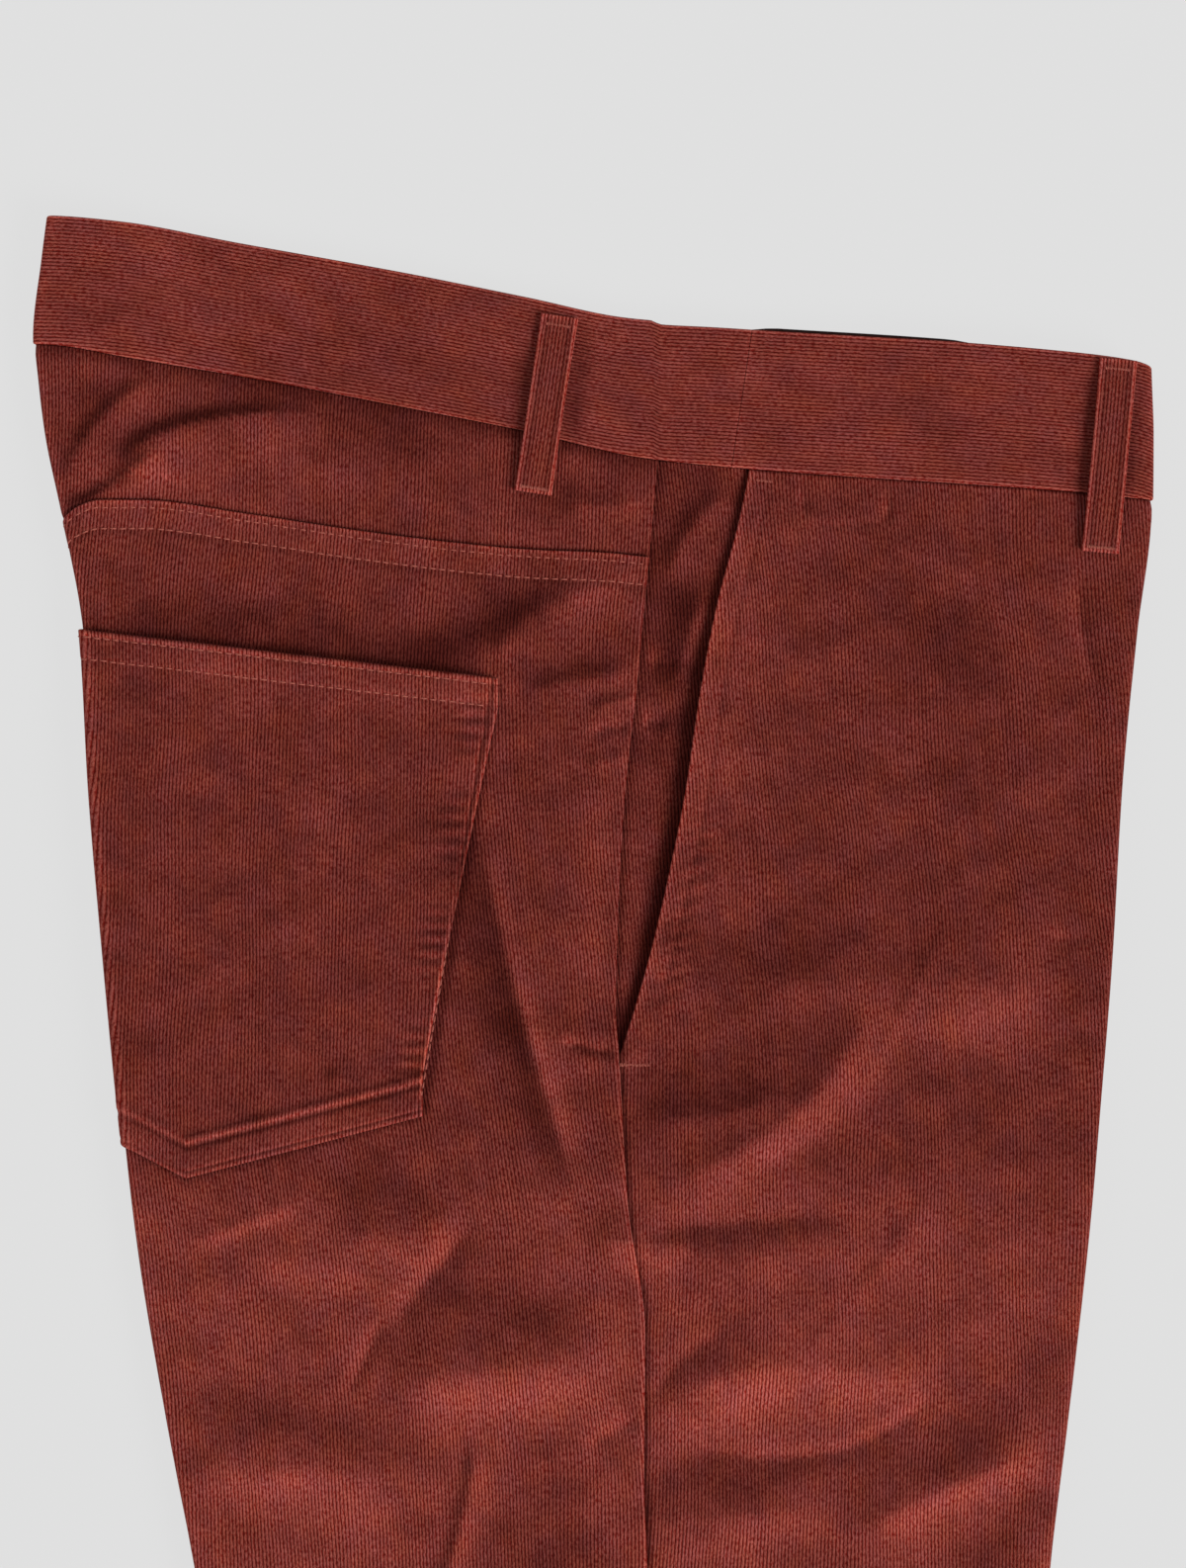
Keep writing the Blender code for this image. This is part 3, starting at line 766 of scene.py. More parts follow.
def facing_out(points, quads, one=None):
    """Points and their faces, turned to face out. one is how many faces close one body, if there
    are several bodies alike."""
    a, b, c, d = (points[quads[:one, k]] for k in range(4))
    volume = (a * np.cross(b, c)).sum() + (a * np.cross(c, d)).sum()
    return points, quads[:, ::-1] if volume < 0 else quads


def mesh_object(name, points_and_quads, values, finish):
    """A smooth mesh object, with the wales' coordinates as its UV map. values are its points'
    places across and along the wales and their tone with its painted light and shade."""
    points, quads = points_and_quads
    mesh = bpy.data.meshes.new(name)
    mesh.vertices.add(len(points))
    mesh.vertices.foreach_set("co", points.astype(np.float32).ravel())
    mesh.loops.add(quads.size)
    mesh.loops.foreach_set("vertex_index", quads.astype(np.int32).ravel())
    mesh.polygons.add(len(quads))
    mesh.polygons.foreach_set("loop_start", np.arange(0, quads.size, 4, dtype=np.int32))
    mesh.update(calc_edges=True)
    mesh.validate()
    mesh.shade_smooth()
    if values:
        across, along, tone_and_shading = values
        corners = np.zeros(len(mesh.loops), np.int32)
        mesh.loops.foreach_get("vertex_index", corners)
        uv = np.stack([across[corners], along[corners]], axis=-1)
        mesh.uv_layers.new(name="wales").data.foreach_set("uv", uv.astype(np.float32).ravel())
        # the pile's tone with its painted light and shade
        attribute = mesh.attributes.new("tone_and_shading", "FLOAT", "POINT")
        attribute.data.foreach_set("value", tone_and_shading.astype(np.float32))
    mesh.materials.append(finish)
    thing = bpy.data.objects.new(name, mesh)
    bpy.context.scene.collection.objects.link(thing)
    return thing


def cloth_piece(piece, grid, faces, pile_and_shading, finish, wales=None, rounding=None,
                slot="corduroy"):
    """Make a piece of cloth, named for its node and given its finish, and hide the solid of its node
    unless it is the band's inner facing. faces are its outer and inner faces' heights."""
    node = f"{grid.leg}_{piece}"
    wales = wales or panel_wales(grid, piece)
    thing = shell(node + CLOTH_SUFFIX, grid, *faces, wales, pile_and_shading, finish, rounding)
    if slot == "corduroy":    # the band's inner facing has no node of its own
        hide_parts(node)


def cells(leg):
    """The spacing of a piece's points where the photo shows it, and where it doesn't."""
    return (1.5, 6.5) if leg == "right" else (3.4, 8.0)


def row_cells(leg, top_v):
    """The spacing of rows, by the distance below a panel's top edge."""
    shown, hidden = cells(leg)
    return lambda distance: mix(shown, hidden, ease((distance + top_v - SHOWN_END) / 40))


def nap_at(patched):
    """The pile's tone with painted light and shade. The outer layers get the painted strokes, the
    lighter thighs and mottles, slopes painted lighter towards the main light and darker away from it,
    and a painted highlight along the back crease; the hidden ones get softer strokes, the lighter
    thighs and mottles.
    """
    leg, u, v = patched.leg, patched.u(), patched.v
    lower = LOWER_LIGHTER * rise(v, LOWER_LIGHTER_FROM[0], LOWER_LIGHTER_FROM[1] - LOWER_LIGHTER_FROM[0])
    lower = lower + ripples(MOTTLES, MOTTLES_OF_EACH_LENGTH, MOTTLE_SEED, patched.q, v * 1.4)
    tone_and_shade_strokes = creases(leg, NAP_AND_SHADE, u, v)
    if leg == "left":
        return 0.7 * tone_and_shade_strokes + lower
    # Painted shade and light: slopes that face the main light are painted lighter, those turned from
    # it darker
    step = 0.8
    ahead = relief(leg, u + step * TO_LIGHT[0], v + step * TO_LIGHT[1])
    facing_light = (relief(leg, u, v) - ahead) / step
    fold_highlight = 0.8 * hump(patched.q - fold_u["back"](v), 1.8)    # a painted highlight along the back crease, where the pile stands up
    return tone_and_shade_strokes + lower + fold_highlight + np.tanh(SLOPE_SHADE_GAIN * facing_light)


def panel_wales(patched, piece):
    """Places across and along the wales, which waver a little."""
    waver = ripples(WAVERS, WAVERS_OF_EACH_LENGTH, WAVER_SEED, patched.q, patched.v)
    return patched.q - grain[piece](patched.v) + waver, patched.v


def settled(patched, raised, base=0.0):
    """raised, kept off the other leg between the two, and off the floor. base is what is added."""
    q, v = patched.q, patched.v
    for end, out in OUT.items():
        from_fold = (fold_u[end](v) - q) * out
        raised = np.minimum(raised, mix(0.1, 3.0, ease(from_fold / 6)))
    if patched.leg == "left":
        raised = np.minimum(raised, stack["left_outer"](v) - base)
    return raised


def front_panel(leg, finish):
    shown, hidden = cells(leg)
    grid = folded_patch(
        leg, "front", under_band, level(HEM), lambda v: front_edge(v) + SEAM_GAP / 2,
        rows=marks(HEM - 44, row_cells(leg, 44), EDGE_ROWS, EDGE_ROWS),
        outer=marks(140, shown, SEAM_ROWS), inner=marks(75, hidden, last=EDGE_ROWS),
    )
    s, v, top = grid.near, grid.v, grid.top
    mouth = rise(v, 46, 20) * rise(v, MOUTH_END - 4, -26)
    hemmed = rise(s, 6.6, -0.8)
    stand_off = rise(v, 60, 70) * rise(v, MOUTH_END - 6, -50) * hump(s, 15)
    crumpled = rise(v, 140, 20) * rise(v, MOUTH_END - 8, -12) * hump(s - 8, 5)
    pucker = np.sin(2 * math.pi * (v + 0.3 * s) / 5.3 + 1.6 * np.sin(v / 6.1)) * crumpled
    raised = (
        1.7 * stand_off + mouth * (0.28 * hemmed + humps(s, (7.2, 0.8, -0.12)))
        + rise(v, MOUTH_END - 4, 10) * humps(s, *SEAM_GROOVE)
        + humps(top, *UNDER_BAND_DIP) + 0.12 * pucker
    )
    at_mouth = rise(v, MOUTH_END - 2, -8)
    # Painted light and shade: highlights on the mouth's hem and edge; shade along its stitch line, on
    # the puckers' slopes, in the seam below the mouth and under the waistband
    pile_and_shading = (
        nap_at(grid) + mouth * (0.2 * hemmed + humps(s, (7.2, 0.8, -0.25))) + 0.35 * pucker
        + at_mouth * humps(s, *MOUTH_LIGHT) + (1 - at_mouth) * humps(s, (0.5, 1.0, -0.8))
        + humps(top, *UNDER_BAND_LIGHT)
    )
    raised = settled(grid, raised)
    cloth_piece("front_panel", grid, (raised, raised - CLOTH), pile_and_shading, finish)


def back_panel_top(q):
    """The back panel's top edge, which laps over the yoke, but not on the hidden layer."""
    return yoke_seam(q) - YOKE_LAP + 2 * YOKE_LAP * rise(q, FOLD_Q["back"] + 3, -4)


def back_panel(leg, finish):
    shown, hidden = cells(leg)
    grid = folded_patch(
        leg, "back", back_panel_top, level(HEM), lambda v: side_seam(v) - SEAM_GAP / 2,
        rows=marks(HEM - 66, row_cells(leg, 66), SEAM_ROWS, EDGE_ROWS),
        outer=marks(170, shown * 1.08, SEAM_ROWS[:12]), inner=marks(75, hidden, last=EDGE_ROWS),
    )
    s, v, q, top = grid.near, grid.v, grid.q, grid.top
    at_facing = rise(v, MOUTH_END, -12)
    lapped = rise(top, 9.2, -1.2)
    raised = settled(grid, (
        (1 - at_facing) * humps(s, *SEAM_GROOVE) + at_facing * humps(s, (1, 1.2, 0.15))
        + humps(top, *LAP_ROLL) + 0.25 * lapped
    ))
    # Painted shade round the pocket: over its top, beside it and under its foot
    over, beside, under = pocket_top(q) - v, q - pocket_side(v), v - pocket_bottom(q)
    painted_shade = (
        rise(over, -1.5, 1.5) * hump(over, 5) * rise(q, POCKET_TOP[1][0], -14)
        + 1.5 * hump(beside, 1.5) * rise(over, 0, -4) * ease(-under)
        + 1.1 * hump(under, 1.3) * ease(-beside)
    )
    # Painted light and shade: highlights along the lapped top edge and the seam's edge, the lap drawn
    # lighter, a painted dark line below the lap, and the painted shade round the pocket
    pile_and_shading = (
        nap_at(grid) + humps(top, *EDGE_LIGHT, (9.8, 0.7, -0.25)) + 0.2 * lapped
        + mix(0.8, 0.3, at_facing) * humps(s - 0.3, *EDGE_LIGHT) - 0.6 * painted_shade
    )
    cloth_piece("back_panel", grid, (raised, raised - CLOTH), pile_and_shading, finish)


def back_yoke(leg, finish):
    shown, hidden = cells(leg)
    grid = folded_patch(
        leg, "back", under_band, lambda q: yoke_seam(q) - GAP / 2,
        lambda v: side_seam(v) - SEAM_GAP / 2,
        rows=marks(42, shown, EDGE_ROWS, SEAM_ROWS[:10]),
        outer=marks(170, shown, EDGE_ROWS), inner=marks(25, hidden, last=EDGE_ROWS),
    )
    raised = humps(grid.top, (0, 1.6, -0.35)) + humps(grid.bottom, (0, 1.8, -0.5))
    # Painted shade along its lower edge, over the lap, and under the waistband
    pile_and_shading = nap_at(grid) + humps(grid.bottom, (0, 1.2, -0.5)) + humps(grid.top, (0, 3.5, -0.7))
    cloth_piece("back_yoke", grid, (raised, raised - CLOTH), pile_and_shading, finish)


def pocket_facing(leg, finish):
    shown = cells(leg)[0]
    columns = marks(40, shown, EDGE_ROWS, EDGE_ROWS)
    length = FACING_END - FACING_TOP
    grid = patch(
        leg, under_band, level(FACING_END),
        lambda share: side_seam(FACING_TOP + share * length) - FACING_UNDER_SEAM,
        lambda share: front_edge(FACING_TOP + share * length) + FACING_UNDER_FRONT,
        marks(190, shown, EDGE_ROWS, EDGE_ROWS), lambda start, stop: spread(start, stop, columns),
    )
    v = grid.v
    from_mouth = grid.q - front_edge(v)
    from_seam = grid.q - side_seam(v)
    in_mouth = rise(from_mouth, -0.6, -4) * rise(from_seam, 0.6, 4)
    raised = (
        -FACING_DEPTH - 0.5 * hump(from_mouth, 6) * rise(v, 60, 60)
        + 1.2 * in_mouth * hump(grid.top, 9)
    )
    reach = 4 + 4 * rise(v, 60, 50)
    lower = rise(v, 125, 45)
    # Painted shade: the facing is darker where it lies under the mouth, darkest along the mouth's
    # edge and the seam, and lighter lower down
    pile_and_shading = (
        nap_at(grid) + mix(-0.3, 0.1, lower)
        - mix(0.55, 0.7, lower) * ease((from_mouth + reach) / reach)
        - mix(0.2, 0.9, lower) * hump(from_mouth, 2.2)
        - mix(0.4, 0.8, lower) * hump(from_seam, 1.8)
    )
    faces = (raised, raised - FACING_CLOTH)
    cloth_piece("pocket_facing", grid, faces, pile_and_shading, finish)


def pocket_side(v):
    """The back pocket's right edge, q at v."""
    (top_q, top_v), (bottom_q, bottom_v) = POCKET_TOP[1], POCKET_BOTTOM[2]
    return top_q + (bottom_q - top_q) * (v - top_v) / (bottom_v - top_v)


def pocket_relief(q, v):
    """The back pocket's hems, stitch grooves and puckers over its flat face."""
    top, bottom, s = v - pocket_top(q), pocket_bottom(q) - v, pocket_side(v) - q
    pucker = np.sin(2 * math.pi * (v + 0.12 * s) / 4.7 + np.sin(v / 7.3)) * np.sin(v / 11.0) ** 2
    return (
        1.5 * hump(top, 10) * rise(s, 0, 16) * rise(q, -175, 40)    # its mouth gapes
        + humps(top, *POCKET_TOP_HEM) + 0.15 * rise(top, 9.4, -1.0)
        + humps(bottom, (11.4, 1.5, 0.6)) * rise(bottom, 9.6, 0.9)
        + humps(bottom, *POCKET_FOOT_GROOVES)
        + 0.3 * pucker * hump(s - 5.5, 4.2) + humps(s, (1.5, 0.5, -0.2))
    )


def back_pocket(leg, finish):
    """The back pocket, between its four straight sides, round the back fold."""
    shown = 1.15 if leg == "right" else 3.0
    corner_rows = SEAM_ROWS + (10.8, 11.8, 12.8)
    rows = marks(155, shown, SEAM_ROWS, corner_rows)
    fold_v = spread(pocket_top(-172.0), pocket_bottom(-162.0), [at[:, None] for at in rows])
    grid = patch(
        leg, pocket_top, pocket_bottom,
        lambda share: mix(POCKET_TOP[1][0], POCKET_BOTTOM[2][0], share),
        lambda share: mix(POCKET_TOP[0][0], POCKET_BOTTOM[0][0], share), rows,
        round_fold(
            leg, "back", fold_v, marks(112, shown, SEAM_ROWS[:12]), marks(18, 2.2, last=EDGE_ROWS),
        ),
    )
    top, bottom, s = grid.top, grid.bottom, grid.near
    # Painted light and shade: slopes that face the main light are painted lighter, those turned from
    # it darker; highlights on the top hem, the side and the foot's hems, and painted shade under the
    # foot's raised hem
    step = 0.5
    flat = pocket_relief(grid.q, grid.v)
    ahead = pocket_relief(grid.q + step * TO_LIGHT[0], grid.v + step * TO_LIGHT[1])
    pile_and_shading = (
        nap_at(grid) + np.tanh(POCKET_SLOPE_SHADE_GAIN * (flat - ahead) / step)
        + humps(top, *POCKET_TOP_LIGHT) + humps(s, *POCKET_SIDE_LIGHT)
        + humps(bottom, *POCKET_FOOT_LIGHT) + 0.15 * rise(bottom, 8.6, -1.5)
    )
    raised = settled(grid, flat, PATCH)
    faces = (raised + PATCH, np.maximum(raised, -0.22) + GAP)
    cloth_piece("back_pocket", grid, faces, pile_and_shading, finish)


def band_upper_edge(leg):
    """The waistband's top edge. The far side shows a little above the near one."""

    def read(q):
        # The hidden layer's edge lies level with the one over it
        over = np.where(q < BACK_TURN_Q, 2 * BACK_TURN_Q - q, q)
        top = band_top(over) + 0.5 * ease((BACK_TURN_Q - q) / 6)
        if leg == "right":
            return top + 0.5 * np.tanh((q - 0.5) / 0.7) * hump(q, 12)
        return top - 1.5 * ease((q - 24) / 14) * ease((106 - q) / 16)

    return read


def waistband(leg, finish, facing_finish):
    shown, hidden = cells(leg)
    joint = -BAND_INSIDE + BAND_FACING
    for end, width, hidden_width in (("back", 205, 20), ("front", 120, 55)):
        near_q = BAND_SEAM_Q + OUT[end] * SEAM_GAP / 2
        grid = folded_patch(
            leg, end, band_upper_edge(leg), band_bottom, lambda v: near_q - 0.15 * (v - 22),
            rows=marks(40, 1.2 if leg == "right" else 3.0, EDGE_ROWS, EDGE_ROWS),
            outer=marks(width, shown, EDGE_ROWS), inner=marks(hidden_width, hidden, last=EDGE_ROWS),
        )
        grid.near = grid.near * 5    # its seam is pressed flat, and hardly shows
        piece = f"waistband_{end}"
        # Painted highlights along the band's edges and its seam; the band is drawn lighter than the
        # panels
        pile_and_shading = (
            nap_at(grid) + 0.3 + humps(np.minimum(grid.top, grid.bottom), *EDGE_LIGHT)
            + humps(grid.near, (2, 3, 0.2))
        )
        wales = (grid.top, grid.q)
        cloth_piece(piece, grid, (BAND_PROUD, joint), pile_and_shading, finish, wales=wales, rounding=0.6)
        # The band's inner facing, in dark twill. Where it shows, a thin sliver above the near band,
        # its dark colour also stands for the shade between the two bands
        cloth_piece(
            f"{piece}_facing", grid, (joint - 0.05, level(-BAND_INSIDE)(grid.q)), pile_and_shading,
            facing_finish, wales=wales, slot="band_facing",
        )


def loop_line(row):
    """A belt loop's name, its top, the ways down and across it (q and v) and its length."""
    name, top_q, top_v, bottom_q, bottom_v = row
    length = math.hypot(bottom_q - top_q, bottom_v - top_v)
    down = ((bottom_q - top_q) / length, (bottom_v - top_v) / length)
    return name, (top_q, top_v), down, (down[1], -down[0]), length


def belt_loops(leg, finish):
    right = leg == "right"
    for name, top, down, across, length in map(loop_line, LOOPS["rows"]):
        rows = marks(length, 1.0 if right else 2.4, SEAM_ROWS[:11], SEAM_ROWS[:11])
        a, w = np.broadcast_arrays(
            spread(0.0, length, rows)[:, None],
            spread(-LOOP_WIDTH / 2, LOOP_WIDTH / 2, marks(LOOP_WIDTH, 0.8, EDGE_ROWS, EDGE_ROWS)),
        )
        bow = np.sin(math.pi * a / length)
        w = w * (1 - LOOP_WAIST * bow)
        q, v = (top[k] + down[k] * a + across[k] * w for k in (0, 1))
        grid = Patch(leg, q, v, w + LOOP_WIDTH / 2, LOOP_WIDTH / 2 - w, a, length - a)
        s = LOOP_WIDTH / 2 - np.abs(w)
        inside = BAND_PROUD + GAP + (LOOP_BOW * bow if right else 0.0)
        tacked = humps(a, (4.2, 0.8, -0.22)) + humps(length - a, (2.6, 0.8, -0.22))
        rolled = humps(s, *LOOP_SIDE) if right else 0.0
        # Painted highlights on the rolled sides and at the loop's ends, and painted shade just inside
        # the rolled sides
        pile_and_shading = (
            0.1 + humps(s, *LOOP_SIDE_LIGHT) + humps(a, (1.0, 1.0, 0.4))
            + humps(length - a, (0.8, 1.0, 0.5)) + humps(grid.edge(), *EDGE_LIGHT)
        )
        cloth_piece(
            name, grid, (inside + CLOTH + tacked + rolled, inside), pile_and_shading, finish,
            wales=(w + 20, a),
        )


def lozenge():
    """One stitch: a thread's float, thick in the middle and sunk at both ends, of unit size."""
    sides = 6
    rings = ((-0.5, 0.15), (-0.36, 0.75), (-0.12, 1.0), (0.12, 1.0), (0.36, 0.75), (0.5, 0.15))
    points = []
    for at, size in rings:
        sink = 0.55 * (abs(at) / 0.5) ** 2
        for k in range(sides):
            angle = 2 * math.pi * k / sides
            points.append((at, size * math.cos(angle) / 2, size * math.sin(angle) / 2 - sink))
    quads = [
        (r * sides + k, (r + 1) * sides + k, (r + 1) * sides + (k + 1) % sides,
         r * sides + (k + 1) % sides)
        for r in range(len(rings) - 1)
        for k in range(sides)
    ]
    last = (len(rings) - 1) * sides
    quads += [(5, 4, 1, 0), (4, 3, 2, 1), (last, last + 1, last + 4, last + 5),
              (last + 1, last + 2, last + 3, last + 4)]
    return np.array(points), np.array(quads)


def stitches(name, leg, places, size, finish):
    """Stitches joined into one mesh. places has each one's q, v, d and its direction in q and v;
    size is a stitch's length, width and height in mm."""
    base, quads = lozenge()
    q, v, d, along_q, along_v = np.array(places, float).T[:, :, None]
    if leg == "left":
        d = np.minimum(d, stack["left_outer"](v) - size[2] / 2)    # flush where it rests
    step, side, up = (base * size).T[:, None, :]
    points = skin(
        leg, q + along_q * step - along_v * side, v + along_v * step + along_q * side, d + up
    ).reshape(-1, 3)
    count = len(places)
    all_quads = (quads[None] + (np.arange(count) * len(base))[:, None, None]).reshape(-1, 4)
    even = np.zeros(len(points))
    values = (even, np.tile(step.ravel(), count), even)
    thing = mesh_object(f"{leg}_{name}", facing_out(points, all_quads, len(quads)), values, finish)
    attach(thing, BODY)


def run_of_stitches(line, from_q, to_q, seed, d=THREAD_PROUD):
    """Stitches along a line (v at q), with a sewing machine's slight unevenness."""
    random = np.random.default_rng(seed)
    dense = np.linspace(from_q, to_q, 600)
    heights = line(dense)
    run = np.concatenate([[0], np.cumsum(np.hypot(np.diff(dense), np.diff(heights)))])
    count = int(run[-1] / THREAD_PITCH)
    at = (np.arange(count) + 0.5) * THREAD_PITCH + random.uniform(-0.12, 0.12, count)
    (q, before_q, after_q), (v, before_v, after_v) = (
        [np.interp(at + off, run, values) for off in (0.0, -0.5, 0.5)]
        for values in (dense, heights)
    )
    dq, dv = after_q - before_q, after_v - before_v
    length = np.hypot(dq, dv)
    v = v + random.uniform(-0.07, 0.07, count)
    return list(zip(q, v, np.full(count, d), dq / length, dv / length))


def yoke_stitches(leg, finish):
    far = -187.0
    places = run_of_stitches(lambda q: yoke_seam(q) + 2.0, -2.5, far, 3)
    places += run_of_stitches(lambda q: yoke_seam(q) + 8.4, -3.0, far, 4)
    stitches("yoke_stitches", leg, places, SEAM_STITCH, finish)


def pocket_stitches(leg, finish):
    near_fold = -178.0
    foot_far = near_fold + 11
    places = run_of_stitches(lambda q: pocket_top(q) + 2.2, -51, near_fold, 5)
    places += run_of_stitches(lambda q: pocket_top(q) + 9.0, -52, near_fold, 6)
    places += run_of_stitches(lambda q: pocket_bottom(q) - 1.9, -73, foot_far, 7, THREAD_SUNK)
    places += run_of_stitches(lambda q: pocket_bottom(q) - 9.3, -79, foot_far, 8, THREAD_SUNK)
    down_side = run_of_stitches(lambda v: pocket_side(v) - 1.5, 112, 240, 9, THREAD_SUNK)
    places += [(q, v, d, along_q, along_v) for v, q, d, along_v, along_q in down_side]
    places = [(q, v, PATCH + d + float(pocket_relief(q, v)), a, b) for q, v, d, a, b in places]
    stitches("pocket_stitches", leg, places, SEAM_STITCH, finish)


def tack(centre, d, width, along, seed):
    """A bar tack: short close stitches across a line of the given width."""
    random = np.random.default_rng(seed)
    side = (-along[1], along[0])
    places = []
    for at in np.arange(-width / 2, width / 2, TACK_PITCH):
        wobble = random.uniform(-0.1, 0.1, 2)
        q, v = (centre[k] + along[k] * at + wobble[k] for k in (0, 1))
        places.append((q, v, d, side[0] + 0.25 * along[0], side[1] + 0.25 * along[1]))
    return places


def tacks(leg, finish):
    """The belt loops' tacks, and those at the foot and the head of the slant pocket's mouth."""
    over_loop = BAND_PROUD + PATCH + 0.05
    places = []
    for _, top, down, across, length in map(loop_line, LOOPS["rows"]):
        for at in (3.0, length - 1.6):
            centre = (top[0] + down[0] * at, top[1] + down[1] * at)
            places += tack(centre, over_loop, LOOP_WIDTH - 0.8, across, 12)
    places += tack((-6.0, 227.5), 0.0, 9.0, (1.0, 0.03), 13)
    places += tack((34.0, 48.3), 0.1, 5.0, (1.0, 0.1), 14)
    stitches("tacks", leg, places, TACK_STITCH, finish)


def linear(hex_colour):
    """An sRGB hex colour, turned linear."""
    parts = [int(hex_colour[i:i + 2], 16) / 255 for i in (1, 3, 5)]
    return tuple(c / 12.92 if c <= 0.04045 else ((c + 0.055) / 1.055) ** 2.4 for c in parts)


def add_node(tree, kind, inputs=None, **settings):
    """Add a node. Each input is a value or the socket that feeds it."""
    node = tree.nodes.new(kind)
    for name, value in settings.items():
        setattr(node, name, value)
    for name, value in (inputs or {}).items():
        if isinstance(value, bpy.types.NodeSocket):
            tree.links.new(value, node.inputs[name])
        else:
            node.inputs[name].default_value = value
    return node


def new_material(name, constants):
    """A material with only its shader and output, and what is the same all over it."""
    made = bpy.data.materials.new(name)
    made.use_nodes = True
    shader = made.node_tree.nodes["Principled BSDF"]
    for socket, value in constants.items():
        shader.inputs[socket].default_value = value
    return made, made.node_tree, shader


def brushed_cotton_needlecord(cloth):
    """Cotton needlecord, woven, cut and brushed: fine rounded ribs of upright pile, with painted
    shade in their narrow grooves, flecked where the tufts part. Lit and shaded copies of its colour
    paint its light and shade, by the tone_and_shading attribute."""
    made, tree, shader = new_material("brushed_cotton_needlecord", {
        "Roughness": 0.92, "Specular IOR Level": 0.08, "Sheen Weight": 0.1,
        "Sheen Roughness": 0.4, "Sheen Tint": (*cloth.sheen, 1.0),
    })
    wales = add_node(tree, "ShaderNodeUVMap", uv_map="wales").outputs["UV"]
    made_so_far = {
        "across": add_node(tree, "ShaderNodeSeparateXYZ", {"Vector": wales}).outputs["X"],
        "tone_and_shading": add_node(tree, "ShaderNodeAttribute", attribute_name="tone_and_shading").outputs["Fac"],
    }

    def given(value):
        if isinstance(value, str):
            return made_so_far[value]
        return value if isinstance(value, float) else (*value, 1.0)

    # Noise: how many mm across and along the wales its spots are, its detail and its roughness
    for name, across_mm, along_mm, detail, roughness in (
        # Real tufts are 0.3 mm across, too fine to show: they are drawn half as large again
        ("tufts", 0.5, 1.3, 2.0, 0.65),
        ("streaks", 1.5, 18.0, 0.0, 0.5),
        ("patches", 9.0, 13.0, 2.0, 0.5),
    ):
        at = add_node(tree, "ShaderNodeVectorMath", {
            0: wales, 1: (across_mm, along_mm, 1.0),
        }, operation="DIVIDE")
        noise = add_node(tree, "ShaderNodeTexNoise", {
            "Vector": at.outputs[0], "Scale": 1.0, "Detail": detail, "Roughness": roughness,
        })
        made_so_far[name] = noise.outputs["Fac"]

    # What is made, how, and from what
    for name, operation, *values in (
        ("tufts", "SUBTRACT", "tufts", 0.5),
        ("streaks", "SUBTRACT", "streaks", 0.5),
        ("patches", "SUBTRACT", "patches", 0.5),
        ("patches", "MULTIPLY_ADD", "patches", 2.0, 0.5),
        ("phase", "MULTIPLY", "across", math.pi * MM / cloth.wale_pitch),
        ("rib", "SINE", "phase"),
        ("rib", "ABSOLUTE", "rib"),
        ("rib", "POWER", "rib", 0.6),
        # painted light: the tone_and_shading attribute picks between the shaded and lit colours
        ("lit_level", "MULTIPLY_ADD", "tone_and_shading", 0.36, 0.5),
        ("lit_level", "MAXIMUM", "lit_level", 0.0),
        ("light", "POWER", "lit_level", 1.6),
        # fine is low in the grooves between the ribs, which get painted shade, and flecked by the
        # tufts
        ("fine", "MULTIPLY_ADD", "rib", 1.5, -0.63),
        ("fine", "MULTIPLY_ADD", "tufts", 4.2, "fine"),
        ("fine", "MULTIPLY_ADD", "streaks", 0.3, "fine"),
        ("height", "MULTIPLY_ADD", "tufts", 1.1, "rib"),
    ):
        inputs = {k: given(value) for k, value in enumerate(values)}
        node = add_node(tree, "ShaderNodeMath", inputs, operation=operation)
        made_so_far[name] = node.outputs[0]
    # Shaded and lit copies of the grooves' and the tips' colours: painted light and shade
    for name, amount, low, high, blend_type in (
        ("grooves", "light", cloth.groove_shade, cloth.groove_lit, "MIX"),
        ("tips", "light", cloth.tip_shade, cloth.tip_lit, "MIX"),
        ("tint", "patches", cloth.warm_tint, cloth.cool_tint, "MIX"),
        ("pile_and_shading", "fine", "grooves", "tips", "MIX"),
        ("colour", 1.0, "pile_and_shading", "tint", "MULTIPLY"),
    ):
        node = add_node(tree, "ShaderNodeMix", {0: given(amount), 6: given(low), 7: given(high)},
                        data_type="RGBA", blend_type=blend_type)
        made_so_far[name] = node.outputs[2]
    tree.links.new(made_so_far["colour"], shader.inputs["Base Color"])
    bump = add_node(tree, "ShaderNodeBump", {
        "Height": made_so_far["height"], "Distance": cloth.wale_depth, "Strength": 1.0,
    })
    tree.links.new(bump.outputs["Normal"], shader.inputs["Normal"])
    return made


def slanted(name, colour, painted_shade, pitch_mm, waver, depth_mm, constants):
    """A material of fine slanting lines, so far apart and so deep, with painted shade, a darker copy
    of its colour, between them."""
    made, tree, shader = new_material(name, constants)
    wales = add_node(tree, "ShaderNodeUVMap", uv_map="wales").outputs["UV"]
    lines = add_node(tree, "ShaderNodeTexWave", {
        "Vector": wales, "Scale": 1 / pitch_mm, "Distortion": waver,
    }, bands_direction="DIAGONAL").outputs["Fac"]
    mixed = add_node(tree, "ShaderNodeMix", {
        0: lines, 6: (*[c * painted_shade for c in colour], 1.0), 7: (*colour, 1.0),
    }, data_type="RGBA")
    tree.links.new(mixed.outputs[2], shader.inputs["Base Color"])
    bump = add_node(tree, "ShaderNodeBump", {
        "Height": lines, "Distance": depth_mm * MM, "Strength": 0.5,
    })
    tree.links.new(bump.outputs["Normal"], shader.inputs["Normal"])
    return made


